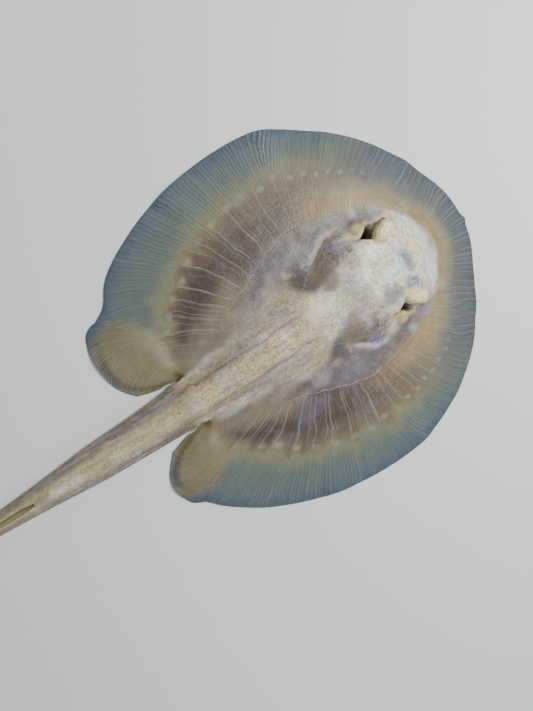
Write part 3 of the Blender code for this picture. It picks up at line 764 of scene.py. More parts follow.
    # painted shade where the lid turns in under the eyeball
    lay("lidLine", 0.8 * fall(-0.02, 0.06, past))
    rim, depth, hood = spiracleRim(s, a), spiracleDepth(s, a), spiracleHood(s, a)
    lay("pitRim", 0.9 * np.maximum(rim, hood))
    # painted shadow round the foot of the hood
    lay("crease", 0.30 * bump(hood - 0.25, 0.22) * (hood > 0))
    # the spiracle's inside is reddish brown, and near black where it is deepest, which is painted shade in the
    # hole
    lay("pitWall", softStep(0.30, 0.65, depth))
    lay("pitShade", softStep(0.70, 1.00, depth) * 0.80)
    onDisc = colour

    # tail, which takes the colours of the back at its root
    colour = flatColour("tailSide", s)
    lay("tail", fall(0.22, 0.62, a + 0.10 * warp))
    lay("tailDark", softStep(0.60, 0.95, a) * 0.6)
    crest = bump(t + 0.10 + 0.08 * warp, 0.18) * softStep(0.22, 0.48, mottle(s, 0 * t, 0.06, 15))
    lay("white", 0.95 * crest * fall(1.34, 1.42, s))
    # painted shade where the sting rises from the tail
    lay("crease", 0.55 * spot(s, t, 1.395, 0.0, 0.030, 0.45, 0.2))
    onTailColour = colour
    colour = flatColour("bandSide", s)
    lay("band", fall(0.030, 0.042, a * 0.064))
    root = softStep(0.955, 1.02, s)[:, None]
    top = np.where(onTail[:, None], colour + (onTailColour - colour) * root, onDisc)

    # underside
    colour = flatColour("belly", s)
    lay("bellyPink", softStep(0.0, 0.5, warp) * 0.6)
    # the margin tone below holds painted blue light showing through the thin edge
    lay("margin", softStep(0.80, 1.0, vw) * 0.75 * ~onTail)
    lay("tailSide", 0.5 * onTail * softStep(0.5, 1.0, a))
    mouthSlit = bump(mouthDistance(s, t), 0.003) * fall(0.80, 1.08, a / mouth["half"])
    vent = spot(s, t, mouth["ventS"], 0, 0.017, 0.010, 0.3)
    lay("slit", np.where(onTail, 0, np.maximum(np.maximum(mouthSlit, gillMask(s, t)), vent)))
    colour = top + (colour - top) * softStep(0.30, 0.80, under)[:, None]
    giveField(mesh, "tint", *colour.T)

    # where the fine pattern goes
    upper = under == 0
    off = np.where(onTail, 0, 1.0) * upper
    rays = softStep(0.60, 0.90, v) * (1 - 0.55 * softStep(0.78, 0.84, flow)) + 0.35 * softStep(0.78, 0.84, flow)
    veins = softStep(canal + 0.005, canal + 0.03, v) * fall(ring - 0.03, ring + 0.03 + 0.10 * (1 - rear), v)
    veins *= softStep(0.03, 0.12, flow) * fall(0.80, 0.86, flow)
    specks = np.maximum(band * (1 - 0.7 * softStep(0.03, 0.05, a)), vee)
    specks = np.maximum(specks, 0.45 * skull * softStep(0.36, 0.44, s))
    specks = np.where(onTail, fall(0.2, 0.5, a), specks) * upper
    body = np.maximum(np.maximum(skull, band), np.maximum(0.20 * core, vee))
    body = np.where(onTail, 0.5, np.maximum(body, 0.10 * fall(0.60, 0.75, v)))
    body *= 1 - np.maximum(0.4 * fall(0.80, 1.15, radius), 0.6 * hood)
    lateral = np.where(onTail, t * np.interp(s, *np.array(tail["stations"]).T[:2]), t)
    onBand = np.where(onTail, 0.9 * fall(1.25, 1.45, s), band * between(0.62, 0.66, 2.0, 2.1, s)) * upper
    giveField(mesh, "flow", flow, np.where(onTail, 0, v), 0 * s)
    giveField(mesh, "reach", np.clip(rays, 0, 1) * off, np.clip(veins, 0, 1) * off, specks)
    giveField(mesh, "guide", np.where(off > 0, v - canal, 1), np.where(off > 0, v - ring, 1), arches * off)
    giveField(mesh, "wet", np.where(onTail, 0, depth) * off, under, row)
    giveField(mesh, "back", lateral, s, onBand)
    giveField(mesh, "fold", crease, creased * off, body * (1 - under))
    giveField(mesh, "arm", shoulderArm(s, a), between(0.055, 0.080, 0.125, 0.165, a) * off, 0 * s)
    giveField(mesh, "orbit", long / head["mound"][0], bulbSide, np.where(onTail | (under > 0), 9, radius))
    onBack = np.where(onTail, fall(0.25, 0.5, a), np.maximum(band * fall(0.045, 0.075, a), vee))
    crest = (onTail & upper) * fall(0.05, 0.12, a) * between(1.00, 1.04, 1.36, 1.39, s)
    giveField(mesh, "thorns", onBack * fall(1.40, 1.48, s) * upper, crest, s)


unwrap = dict(scale=1.33, edge=0.010, strip=0.008)  # map units per metre, border, width of the wall


def giveBakeMap(mesh, fields, rings, out):  # upper side and wall in one island, underside in another
    s, t, u, _, under = fields
    onTail = u > 1
    rootS, rootT = innerEdge(np.abs(t) * disc["bodyShare"]).T
    planS = np.where(onTail, s + rootS - disc["midRear"], s)
    planT = np.where(onTail, rootT * np.sign(t), t)
    plan = np.stack([planT, planS], -1)
    outer = plan.copy()
    for k, ring in enumerate(rings[1:], 1):
        outer[ring] = plan[rings[0]] + out * (unwrap["strip"] * k / (len(rings) - 1))
    scale = unwrap["scale"] * discWidth
    corner = np.array((-0.5 - unwrap["edge"], -unwrap["edge"]))
    above, below = (outer - corner) * scale, (plan - corner) * scale + (0.5, 0)
    corners = np.empty(len(mesh.loops), np.int32)
    mesh.loops.foreach_get("vertex_index", corners)
    totals = np.empty(len(mesh.polygons), np.int32)
    mesh.polygons.foreach_get("loop_total", totals)
    face = np.repeat(np.arange(len(totals)), totals)
    lowest = np.full(len(totals), 1.0)
    np.minimum.at(lowest, face, under[corners])
    isBelow = lowest[face] == 1
    places = np.where(isBelow[:, None], below[corners], above[corners])
    layerOfMap = mesh.uv_layers.new(name="OFBake")
    layerOfMap.data.foreach_set("uv", places.astype(np.float32).ravel())
    return above


fineAreas = (  # s, t, radius along, radius across, underside or not, rounds, also on the other side
    ((head["eyeS"] + head["pit"][1][0]) / 2, (head["eyeT"] + head["pit"][1][1]) / 2, 0.072, 0.052, 0, 2, True),
    (head["eyeS"], head["eyeT"], 0.041, 0.031, 0, 1, True),  # eyes and spiracles
    (0.485, 0.138, 0.060, 0.026, 0, 1, True), (0.45, 0.134, 0.085, 0.036, 1, 1, True),  # gills
    (0.268, 0.0, 0.034, 0.075, 1, 2, False), (mouth["ventS"], 0.0, 0.03, 0.025, 1, 1, False),  # mouth and vent
)


def buildSkin():
    fields, faces, borders = makeGrid()
    fields, faces, rings = addWalls(fields, faces, borders)
    mesh = bpy.data.meshes.new("skin")
    mesh.from_pydata(worldPlace(fields[:, 0], fields[:, 1], fields[:, 4]).tolist(), [], faces.tolist())
    for name, column in zip(fieldNames, fields.T):
        mesh.attributes.new(name, "FLOAT", "POINT").data.foreach_set("value", column.astype(np.float32))
    doubled = [area[:6] for area in fineAreas if area[6]]
    single = [area[:6] for area in fineAreas if not area[6]]
    refine(mesh, [(s, side * t, *rest) for side in (1, -1) for s, t, *rest in doubled] + single)
    found = readFields(mesh)
    points, out = skinPlaces(found, rings)
    mesh.vertices.foreach_set("co", points.astype(np.float32).ravel())
    paintSkin(mesh, found)
    for name in fieldNames:
        mesh.attributes.remove(mesh.attributes[name])
    above = giveBakeMap(mesh, found, rings, out)
    mesh.shade_smooth()
    skin = bpy.data.objects.new("skin", mesh)
    bpy.context.scene.collection.objects.link(skin)
    bm = bmesh.new()
    bm.from_mesh(mesh)
    openEdges = sum(1 for edge in bm.edges if len(edge.link_faces) != 2)
    volume = round(bm.calc_volume() * 1e6)
    print("skin built:", len(bm.faces), "faces,", openEdges, "open edges, volume", volume, "cm3")
    bm.free()
    return skin, points, above, found[4]


# the kinds of node that the materials and the denticles use most, by short names
nodeKinds = dict(  # node type, settings, the inputs that are given in turn, and the output that is used
    coords=("ShaderNodeTexCoord", {}, (), "Object"),
    field=("ShaderNodeAttribute", {}, (), "Vector"),
    split=("ShaderNodeSeparateXYZ", {}, ("Vector",), None),
    noise=("ShaderNodeTexNoise", dict(noise_dimensions="4D"),
           ("Vector", "Scale", "Detail", "W", "Roughness"), "Fac"),
    random=("ShaderNodeTexWhiteNoise", dict(noise_dimensions="1D"), ("W",), "Value"),
    ramp=("ShaderNodeMapRange", dict(interpolation_type="SMOOTHSTEP"), ("Value", "From Min", "From Max"), 0),
    mix=("ShaderNodeMix", dict(data_type="RGBA"), (0, 6, 7), 2),  # share, the colour under, the colour over
    mixNumber=("ShaderNodeMix", dict(data_type="FLOAT"), (0, 2, 3), 0),
    vectorSum=("ShaderNodeVectorMath", dict(operation="ADD"), (0, 1), 0),
    luck=("FunctionNodeRandomValue", dict(data_type="FLOAT"), (2, 3, "Seed"), 1),
)


# adds a node with its settings, and links or values for its inputs
def addNode(tree, kind, *terms, settings=None, **links):
    if kind in ("ADD", "MULTIPLY", "MAXIMUM") and len(terms) > 2:  # more than two terms are taken in turn
        terms = (addNode(tree, kind, *terms[:-1]), terms[-1])
    if kind.isupper():
        found = ("ShaderNodeMath", dict(operation=kind), (0, 1, 2), 0)
    else:
        found = nodeKinds.get(kind, (kind, {}, (), None))
    nodeType, ownSettings, order, output = found
    node = tree.nodes.new(nodeType)
    for name, value in {**ownSettings, **(settings or {})}.items():
        setattr(node, name, value)
    named = {name.replace("_", " "): value for name, value in links.items()}
    for name, value in [*zip(order, terms), *named.items()]:
        if isinstance(value, bpy.types.NodeSocket):
            tree.links.new(value, node.inputs[name])
        else:
            node.inputs[name].default_value = value
    return node if output is None else node.outputs[output]


def newMaterial(name, roughness, **values):
    material = bpy.data.materials.new(name)
    material.use_nodes = True
    shader = material.node_tree.nodes["Principled BSDF"]
    shader.inputs["Roughness"].default_value = roughness
    for label, value in values.items():
        shader.inputs[label.replace("_", " ")].default_value = value
    return material, material.node_tree, shader


def paintsOf(finish):
    return {name: hexColour(code) for name, code in finish.items() if isinstance(code, str)}


def perSize(size):  # the scale that gives patches of this size in disc widths; 0.01 is 3.6 mm
    return 1 / (size * discWidth)


def fieldParts(node, name):  # the three numbers that the mesh holds under this name
    return node("split", node("field", settings=dict(attribute_name=name))).outputs


def fromMiddle(node, steps, middle=0.5):  # distance from the middle of each whole step
    return node("ABSOLUTE", node("SUBTRACT", node("FRACT", steps), middle))


skinFinish = dict(  # counts are round one side of the disc
    # fold is a dark brown for the streaks in folds, laid partly as painted shade in them
    vein="#bfb5a3", dot="#b3b5a8", rayShade="#3f4c57", arch="#7c5c3c", speck="#6a4b2e", cream="#d6caa0",
    pale="#cdd0d0", lilac="#8f8ba6", rust="#77604a", purple="#75586f", fold="#574233", roughness=0.40,
    rays=250, veins=36, smallVeins=97.2, bundles=85, netLines=58,
    veinWidth=0.0021, smallVeinWidth=0.0012, canalWidth=0.0060, rayWidth=0.0026, bundleWidth=0.0042,
    patches=(  # size, detail and seed of the noises: 27, 8, 2.9, 1.5 and 18 mm
        (0.075, 2.0, 0.0), (0.022, 4.0, 0.0), (0.008, 3.0, 0.0), (0.0042, 4.0, 7.0), (0.05, 2.0, 0.0)),
    speckSize=0.0068,  # specks 2.4 mm apart, coarser than the real ones, so that they show
    noiseRoughness=0.55,
    clouds=(("cream", 0.024, 0.36), ("pale", 0.018, 0.24), ("lilac", 0.030, 0.28), ("rust", 0.016, 0.36)),
    lidFolds=((0.99, 0.110, 0.75), (0.80, 0.045, 0.35), (0.62, 0.075, 0.60), (0.36, 0.040, 0.25)),
    bumpDepth=0.0009,  # metres
)


# thin lines along the fin rays, and a random value for each
def lineFan(node, flow, count, wobble, halfWidth, spread):
    steps = node("ADD", node("MULTIPLY", flow, float(count)), wobble)
    luck = node("random", node("FLOOR", steps))
    away = fromMiddle(node, steps, node("MULTIPLY_ADD", luck, 0.4, 0.3))
    away = node("MULTIPLY", away, 1 / count, spread)
    return node("ramp", away, halfWidth, halfWidth * 0.25), luck


# wet ray skin: thin and satin, so it shows soft glints and lets a little light in; patchy over the skull,
# darker over the fin muscles, and bluish where the edge is thin, which is painted blue light showing through it
def skinMaterial():
    finish = skinFinish
    material, tree, shader = newMaterial(
        "raySkin", finish["roughness"], Specular_IOR_Level=0.38, Subsurface_Weight=0.10,
        Subsurface_Radius=(0.6, 0.35, 0.25), Subsurface_Scale=0.003)
    node = partial(addNode, tree)
    paint = paintsOf(finish)
    coords = node("coords")
    colour = node("field", settings=dict(attribute_name="tint"))
    flow, vee, _ = fieldParts(node, "flow")
    rayReach, veinReach, speckReach = fieldParts(node, "reach")
    canal, ring, arches = fieldParts(node, "guide")
    _, _, row = fieldParts(node, "wet")
    lateral, along, onBand = fieldParts(node, "back")
    crease, creased, body = fieldParts(node, "fold")
    arm, armed, _ = fieldParts(node, "arm")
    orbitLong, orbitShort, orbit = fieldParts(node, "orbit")

    def lay(tone, *shares):  # lays a tone over what is under it
        nonlocal colour
        colour = node("mix", node("MULTIPLY", *shares), colour, paint[tone])

    wide, patch, fine, grain, sway = (
        node("noise", coords, perSize(size), detail, seed, finish["noiseRoughness"])
        for size, detail, seed in finish["patches"])
    patchy = node("ramp", patch, 0.30, 0.50)
    spread = node("MULTIPLY_ADD", vee, 1.5, 0.1)  # disc widths per unit of flow

    # clouds of the skull and back
    for index, (tone, size, strength) in enumerate(finish["clouds"]):
        cloud = node("noise", coords, perSize(size), 5.0, 1.7 + 4.3 * index, finish["noiseRoughness"])
        lay(tone, node("ramp", cloud, 0.47, 0.66), body, strength)

    # veins over the fin muscle, and the canal along its inner side
    veins = finish["veins"]
    wobble = node("MULTIPLY_ADD", wide, 0.6, -0.30)
    vein, luck = lineFan(node, flow, veins, wobble, finish["veinWidth"], spread)
    stronger = node("MULTIPLY_ADD", luck, 0.6, 0.4)
    vein = node("MULTIPLY", vein, veinReach, stronger, node("ramp", patch, 0.28, 0.46))
    side = node("MULTIPLY_ADD", wide, 2.0, 0.35)
    small, sideLuck = lineFan(node, flow, finish["smallVeins"], side, finish["smallVeinWidth"], spread)
    small = node("MULTIPLY", small, veinReach, sideLuck, 0.7)
    away = node("ABSOLUTE", node("ADD", canal, node("MULTIPLY_ADD", patch, 0.05, -0.025)))
    canalLine = node("MULTIPLY", node("ramp", away, finish["canalWidth"], finish["canalWidth"] / 4),
                     node("ramp", flow, 0.24, 0.34), node("ramp", flow, 0.76, 0.70))
    pale = node("MAXIMUM", vein, small, node("MULTIPLY", canalLine, 0.55))
    lay("vein", pale, 0.33)

    # fine net inside the ring canal of the front
    net = fromMiddle(node, node("MULTIPLY", vee, float(finish["netLines"])))
    netReach = node("MULTIPLY", node("ramp", vee, 0.46, 0.50), node("ramp", vee, 0.66, 0.60),
                    node("ramp", flow, 0.18, 0.28), node("ramp", flow, 0.60, 0.52))
    net = node("MULTIPLY", node("ramp", net, 0.18, 0.06), netReach, node("ramp", fine, 0.35, 0.60))
    lay("vein", net, 0.20)

    # row of pale dots along the ring
    dotSteps = node("MULTIPLY_ADD", flow, float(veins), 0.2)
    dotLuck = node("random", node("FLOOR", dotSteps))
    dotU = node("MULTIPLY", node("SUBTRACT", node("FRACT", dotSteps), 0.5), 1 / veins, spread)
    dotV = node("MULTIPLY", node("ADD", ring, node("MULTIPLY_ADD", dotLuck, 0.03, -0.015)), 0.42)
    far = node("SQRT", node("ADD", node("POWER", dotU, 2.0), node("POWER", dotV, 2.0)))
    far = node("ADD", far, node("MULTIPLY_ADD", fine, 0.006, -0.003))
    dots = node("MULTIPLY", node("ramp", far, 0.0115, 0.0015), node("MULTIPLY_ADD", dotLuck, 0.6, 0.4),
                node("ramp", flow, 0.26, 0.34), node("ramp", flow, 0.80, 0.78))
    lay("dot", dots, 0.38)

    # fin rays and, in front, broader bundles of them
    rayWobble = node("MULTIPLY_ADD", sway, 1.2, -0.6)
    ray, rayLuck = lineFan(node, flow, finish["rays"], rayWobble, finish["rayWidth"], spread)
    broken = node("ramp", fine, 0.22, 0.50)
    ray = node("MULTIPLY", ray, rayReach, node("MULTIPLY_ADD", rayLuck, 0.5, 0.5), broken)
    bundle, bundleLuck = lineFan(node, flow, finish["bundles"], rayWobble, finish["bundleWidth"], spread)
    inFront = node("MULTIPLY_ADD", node("ramp", flow, 0.42, 0.28), 0.8, 0.2)
    lay("rayShade", ray, 0.42)
    lay("vein", bundle, rayReach, bundleLuck, inFront, 0.22)

    # arched bands ahead of the skull
    arch = fromMiddle(node, node("MULTIPLY_ADD", row, 50.0, node("MULTIPLY", wide, 0.7)))
    arch = node("MULTIPLY", node("ramp", arch, 0.24, 0.05), arches, patchy)
    lay("arch", arch, 0.55)

    # strands and purple lines of the muscle band
    weave = node("ShaderNodeCombineXYZ", X=lateral, Y=node("MULTIPLY", along, 0.10)).outputs[0]
    strand = node("ShaderNodeTexNoise", Vector=weave, Scale=110.0, Detail=3.0).outputs["Fac"]
    shifted = node("ADD", node("ABSOLUTE", lateral), node("MULTIPLY_ADD", wide, 0.016, -0.044))
    lay("purple", node("ramp", node("ABSOLUTE", shifted), 0.0065, 0.0008), onBand, patchy, 0.62)
    lay("rust", node("ramp", strand, 0.48, 0.68), onBand, 0.34)
    lay("pale", node("ramp", strand, 0.50, 0.32), onBand, 0.30)

    # folds of the gill chamber and the shoulder's ridge
    # the fold lines are brown streaks of the skin, darkened as painted shade in the fold grooves
    folds = fromMiddle(node, node("MULTIPLY_ADD", crease, 85.0, node("MULTIPLY", patch, 1.6)))
    folds = node("MULTIPLY", node("ramp", folds, 0.42, 0.05), creased,
                 node("ramp", crease, -0.034, -0.016), node("ramp", crease, 0.010, 0.000))
    lay("fold", folds, node("ramp", patch, 0.30, 0.60), 0.17)
    fromArm = node("ABSOLUTE", node("ADD", arm, node("MULTIPLY_ADD", patch, 0.040, -0.020)))
    ridge = node("MULTIPLY", node("ramp", fromArm, 0.0085, 0.0010), armed)
    lay("pale", ridge, node("ramp", fine, 0.30, 0.70), 0.24)

    # wrinkles round the outer side of each eye bulb
    outward = node("ramp", node("ADD", orbitShort, node("MULTIPLY", orbitLong, 0.25)), -0.25, 0.25)
    around = node("ADD", orbit, node("MULTIPLY", wide, 0.12))
    # the dark lines are the lids' brown crescents, with painted shade in their folds
    for place, width, strength in finish["lidFolds"]:
        fromFold = node("ABSOLUTE", node("SUBTRACT", around, place + 0.06))
        lay("fold", node("ramp", fromFold, width, width * 0.15), outward, broken, strength)

    # stipple of the back and tail
    cells = node("ShaderNodeTexVoronoi", settings=dict(feature="F1"), Vector=coords,
                 Scale=perSize(finish["speckSize"]))
    fleck = node("ramp", cells.outputs["Distance"], 0.30, 0.14)
    lay("speck", fleck, speckReach, node("ramp", patch, 0.30, 0.46), 0.70)

    # light and dark, warm and cool, over everything
    shades = node("MULTIPLY_ADD", grain, 1.2, node("MULTIPLY_ADD", fine, 0.6, -0.90))
    value = node("MULTIPLY_ADD", shades, node("MULTIPLY_ADD", body, 1.25, 0.45), 1.0)
    value = node("ADD", value, node("MULTIPLY_ADD", patch, 0.28, -0.14))
    warmth = node("ADD", node("MULTIPLY_ADD", fine, 0.30, 0.85), node("MULTIPLY_ADD", wide, 0.5, -0.25))
    shade = node("ShaderNodeHueSaturation", Color=colour, Value=value, Saturation=warmth)
    tree.links.new(shade.outputs[0], shader.inputs["Base Color"])

    height = node("MULTIPLY_ADD", pale, 0.5, node("MULTIPLY", ray, -0.6))
    for source, share in ((fine, 0.40), (grain, 0.25), (arch, -0.5), (folds, -0.2), (ridge, 0.3)):
        height = node("MULTIPLY_ADD", source, share, height)
    height = node("ADD", height, node("MULTIPLY", strand, onBand, 0.5))
    relief = node("ShaderNodeBump", Height=height, Strength=0.8, Distance=finish["bumpDepth"])
    tree.links.new(relief.outputs[0], shader.inputs["Normal"])
    tree.links.new(node("MULTIPLY_ADD", fine, 0.16, finish["roughness"] - 0.08), shader.inputs["Roughness"])
    return material


def addPiece(piece, material, slot, *nodes):
    if piece.name not in bpy.context.scene.collection.objects:
        bpy.context.scene.collection.objects.link(piece)
    piece.data.materials.clear()
    piece.data.materials.append(material)
    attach(piece, "root")
    if nodes:
        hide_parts(*nodes)


skin, skinPoints, skinMap, skinUnder = buildSkin()
addPiece(skin, skinMaterial(), "skin", "head", "trunk", "snout", "pectoral_fin_left",
         "pectoral_fin_right", "pelvic_fin_left", "pelvic_fin_right", "tail_base", "tail_middle", "tail_tip")
print("skin finished")


eyeFinish = dict(
    pupil="#0b0908", iris="#8a6f3f", irisDark="#3f3120", rim="#15100c", white="#9a8f78",
    roughness=0.08, irisEdge=0.62, fleckSize=0.0035,
    ball=0.985, cornea=0.05, corneaAngle=0.55,  # share of the solid's radius, the cornea's swelling, its reach
)


# moist eye: a clear glassy cornea, which shows one sharp glint, over a golden brown iris with dark spokes
def eyeMaterial():
    finish = eyeFinish
    material, tree, shader = newMaterial("rayEye", finish["roughness"], Coat_Weight=1.0, Coat_Roughness=0.02)
    node = partial(addNode, tree)
    paint = paintsOf(finish)
    wide, tall, angle = fieldParts(node, "gaze")
    flecks = node("noise", node("coords"), perSize(finish["fleckSize"]), 3.0, 0.0, skinFinish["noiseRoughness"])
    turn = node("MULTIPLY", node("ARCTAN2", tall, wide), 9.0)
    spokes = node("ShaderNodeTexNoise", settings=dict(noise_dimensions="1D"), W=turn, Detail=3.0).outputs["Fac"]
    edge = finish["irisEdge"]

    def oval(middle, halfWide, halfTall):  # 1 on the border of an oval, less inside it
        across = node("POWER", node("MULTIPLY", wide, 1 / halfWide), 2.0)
        up = node("POWER", node("MULTIPLY", node("SUBTRACT", tall, middle), 1 / halfTall), 2.0)
        return node("ADD", across, up)

    colour = node("mix", node("ramp", spokes, 0.35, 0.62), paint["iris"], paint["irisDark"])
    pupil = node("ramp", oval(0.02, 0.36, 0.24), 1.06, 0.96)
    lobe = node("ramp", oval(0.26, 0.23, 0.16), 0.90, 1.06)  # the lappet that makes the pupil a crescent
    for tone, share in (("irisDark", node("MULTIPLY", node("ramp", flecks, 0.42, 0.60), 0.6)),
                        ("rim", node("ramp", angle, edge - 0.10, edge - 0.01)),
                        ("white", node("ramp", angle, edge + 0.02, edge + 0.12)),
                        ("pupil", node("MULTIPLY", pupil, lobe))):
        colour = node("mix", share, colour, paint[tone])
    tree.links.new(colour, shader.inputs["Base Color"])
    return material


def buildEye(label, side, material):
    low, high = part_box("eye_" + label)
    centre, radius = (low + high) / 2, (high.x - low.x) / 2
    gaze = Vector(head["gaze"])
    gaze = Vector((gaze.x * side, gaze.y, gaze.z)).normalized()
    level = gaze.cross(Vector((0, 0, 1))).normalized()
    upward = level.cross(gaze)
    turn = Matrix((level, upward, gaze)).transposed()
    bm = bmesh.new()
    bmesh.ops.create_uvsphere(bm, u_segments=56, v_segments=36, radius=radius)
    views = []
    for vertex in bm.verts:
        unit = vertex.co.normalized()
        angle = unit.angle(Vector((0, 0, 1)))
        views.append((unit.x, unit.y, angle))
        swell = eyeFinish["cornea"] * math.exp(-((angle / eyeFinish["corneaAngle"]) ** 4))
        vertex.co = turn @ (vertex.co * (eyeFinish["ball"] + swell * 0.9)) + centre
    mesh = bpy.data.meshes.new("eyeball_" + label)
    bm.to_mesh(mesh)
    bm.free()
    giveField(mesh, "gaze", *np.array(views).T)
    mesh.shade_smooth()
    addPiece(bpy.data.objects.new("eyeball_" + label, mesh), material, "eye", "eye_" + label)


eyeSurface = eyeMaterial()
for eyeLabel, eyeSide in (("left", 1), ("right", -1)):
    buildEye(eyeLabel, eyeSide, eyeSurface)
print("eyes finished")


sting = dict(
    width=0.0130, thick=0.0050, lift=0.0034, barbs=34, barb=0.0016, barbBack=0.0022,  # disc widths
    barbStart=0.16, barbSpan=0.80,  # shares of the length
    bone="#968a66", groove="#4a4030", tip="#c9bd97", grainSize=0.0040,
)


# worn dentine, like old ivory: a dull cream with a low sheen, browner low on its sides and underneath, and
# towards the base
def stingMaterial():
    material, tree, shader = newMaterial("stingDentine", 0.38, Specular_IOR_Level=0.45)
    node = partial(addNode, tree)
    paint = paintsOf(sting)
    along, height, _ = fieldParts(node, "blade")
    grain = node("noise", node("coords"), perSize(sting["grainSize"]), 3.0, 0.0, skinFinish["noiseRoughness"])
    colour = node("mix", node("ramp", along, 0.55, 1.0), paint["bone"], paint["tip"])
    darker = ((height, 0.9, 0.4, 0.55), (along, 0.22, 0.0, 0.8), (grain, 0.50, 0.70, 0.4))
    for source, low, high, strength in darker:
        share = node("MULTIPLY", node("ramp", source, low, high), strength)
        colour = node("mix", share, colour, paint["groove"])
    tree.links.new(colour, shader.inputs["Base Color"])
    return material


def buildSting():
    low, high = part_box("sting")
    s0, s1 = ((edge.y - snoutY) / discWidth for edge in (low, high))
    pitch = sting["barbSpan"] / sting["barbs"]
    steps = [(k, 0.0) for k in np.linspace(0, 0.15, 8)]
    for barb in range(sting["barbs"]):
        start = sting["barbStart"] + sting["barbSpan"] * barb / sting["barbs"]
        steps += [(start, 0.0), (start + 0.12 * pitch, 1.0), (start + 0.60 * pitch, 0.30)]
    steps += [(0.975, 0.0), (1.0, 0.0)]
    section = ((-1.0, 0.0), (-0.80, 0.30), (-0.42, 0.80), (-0.14, 1.0), (0.0, 0.82), (0.14, 1.0), (0.42, 0.80),
               (0.80, 0.30), (1.0, 0.0), (0.55, -0.22), (0.0, -0.35), (-0.55, -0.22))
    bm = bmesh.new()
    rings, blade = [], []
    for k, barb in steps:
        s = s0 + (s1 - s0) * k
        taper = (1 - k**1.7) * (0.55 + 0.45 * softStep(0.0, 0.12, k)) + 0.03
        base = tailSize(np.array([s]))[1][0] + sting["lift"]
        ring = []
        for x, z in section:
            reach = sting["width"] / 2 * taper * x * 0.90
            back = 0.0
            if abs(x) == 1.0:
                reach += math.copysign(sting["barb"] * barb * (1 - 0.5 * k), x)
                back = -sting["barbBack"] * barb  # each barb points towards the base
            place = worldPlace(s + back, drift(s, 0) + reach, base + sting["thick"] * taper * z)
            ring.append(bm.verts.new(place))
            blade.append((k, z, x))
        rings.append(ring)
    for a, b in zip(rings, rings[1:]):
        for i in range(len(section)):
            j = (i + 1) % len(section)
            bm.faces.new((a[i], a[j], b[j], b[i]))
    bm.faces.new(rings[0][::-1])
    bm.faces.new(rings[-1])
    bmesh.ops.recalc_face_normals(bm, faces=bm.faces[:])
    mesh = bpy.data.meshes.new("stingBlade")
    bm.to_mesh(mesh)
    bm.free()
    giveField(mesh, "blade", *np.array(blade).T)
    mesh.shade_smooth()
    mesh.set_sharp_from_angle(angle=math.radians(50))
    addPiece(bpy.data.objects.new("stingBlade", mesh), stingMaterial(), "spine", "sting")


buildSting()
print("sting finished")


denticles = dict(
    back=dict(field=0, spacing=0.0019, radius=0.00045, height=0.00055, seed=4),  # metres
    tail=dict(field=1, spacing=0.0046, radius=0.00085, height=0.00190, seed=9),
    lean=0.9, tipRadius=0.00004, sides=6, smallest=0.6, largest=1.25, mostPerArea=2e6,  # per square metre
    inputs=(("Field", "Int"), ("Spacing", "Float"), ("Radius", "Float"), ("Height", "Float"), ("Lean", "Float"),
            ("Seed", "Int")),
    foot="#6e5237", point="#d3c5a0", patch=0.0015,
)


# enamel points on brown feet: pale, with a small glint each; larger and fewer than real ones, so that they show
def denticleMaterial():
    material, tree, shader = newMaterial("denticleEnamel", 0.35, Specular_IOR_Level=0.5)
    node = partial(addNode, tree)
    paint = paintsOf(denticles)
    _, height, _ = fieldParts(node, "spike")
    colour = node("mix", node("ramp", height, 0.25, 0.95), paint["foot"], paint["point"])
    tree.links.new(colour, shader.inputs["Base Color"])
    return material


def denticleNodes(material):  # scatters leaning points over the skin where a field says
    tree = bpy.data.node_groups.new("denticles", "GeometryNodeTree")
    node = partial(addNode, tree)
    sockets = {}
    tree.interface.new_socket("Geometry", in_out="INPUT", socket_type="NodeSocketGeometry")
    for label, kind in denticles["inputs"]:
        socket = tree.interface.new_socket(label, in_out="INPUT", socket_type="NodeSocket" + kind)
        sockets[label] = socket.identifier
    tree.interface.new_socket("Geometry", in_out="OUTPUT", socket_type="NodeSocketGeometry")
    given = node("NodeGroupInput").outputs
    named = node("GeometryNodeInputNamedAttribute", settings=dict(data_type="FLOAT_VECTOR"), Name="thorns")
    parts = node("split", named.outputs["Attribute"]).outputs
    density = node("mixNumber", node("GREATER_THAN", given["Field"], 0.5), parts[0], parts[1])
    scatter = node("GeometryNodeDistributePointsOnFaces", settings=dict(distribute_method="POISSON"),
                   Mesh=given["Geometry"], Seed=given["Seed"], Distance_Min=given["Spacing"],
                   Density_Max=denticles["mostPerArea"], Density_Factor=density)
    place = node("GeometryNodeInputPosition").outputs[0]
    rooted = node("GeometryNodeStoreNamedAttribute", settings=dict(data_type="FLOAT_VECTOR", domain="POINT"),
                  Geometry=scatter.outputs["Points"], Name="root", Value=place)
    cone = node("GeometryNodeMeshCone", Vertices=denticles["sides"], Depth=given["Height"],
                Radius_Bottom=given["Radius"], Radius_Top=denticles["tipRadius"])
    lean = node("ShaderNodeCombineXYZ", Y=given["Lean"]).outputs[0]
    aim = node("vectorSum", scatter.outputs["Normal"], lean)
    turn = node("FunctionNodeAlignRotationToVector", settings=dict(axis="Z"), Vector=aim).outputs[0]
    size = node("luck", denticles["smallest"], denticles["largest"], given["Seed"])
    spikes = node("GeometryNodeInstanceOnPoints", Points=rooted.outputs[0], Instance=cone.outputs[0],
                  Rotation=turn, Scale=size)
    joined = node("GeometryNodeRealizeInstances", Geometry=spikes.outputs[0])
    painted = node("GeometryNodeSetMaterial", Geometry=joined.outputs[0], Material=material)
    node("NodeGroupOutput", Geometry=painted.outputs[0])
    return tree, sockets


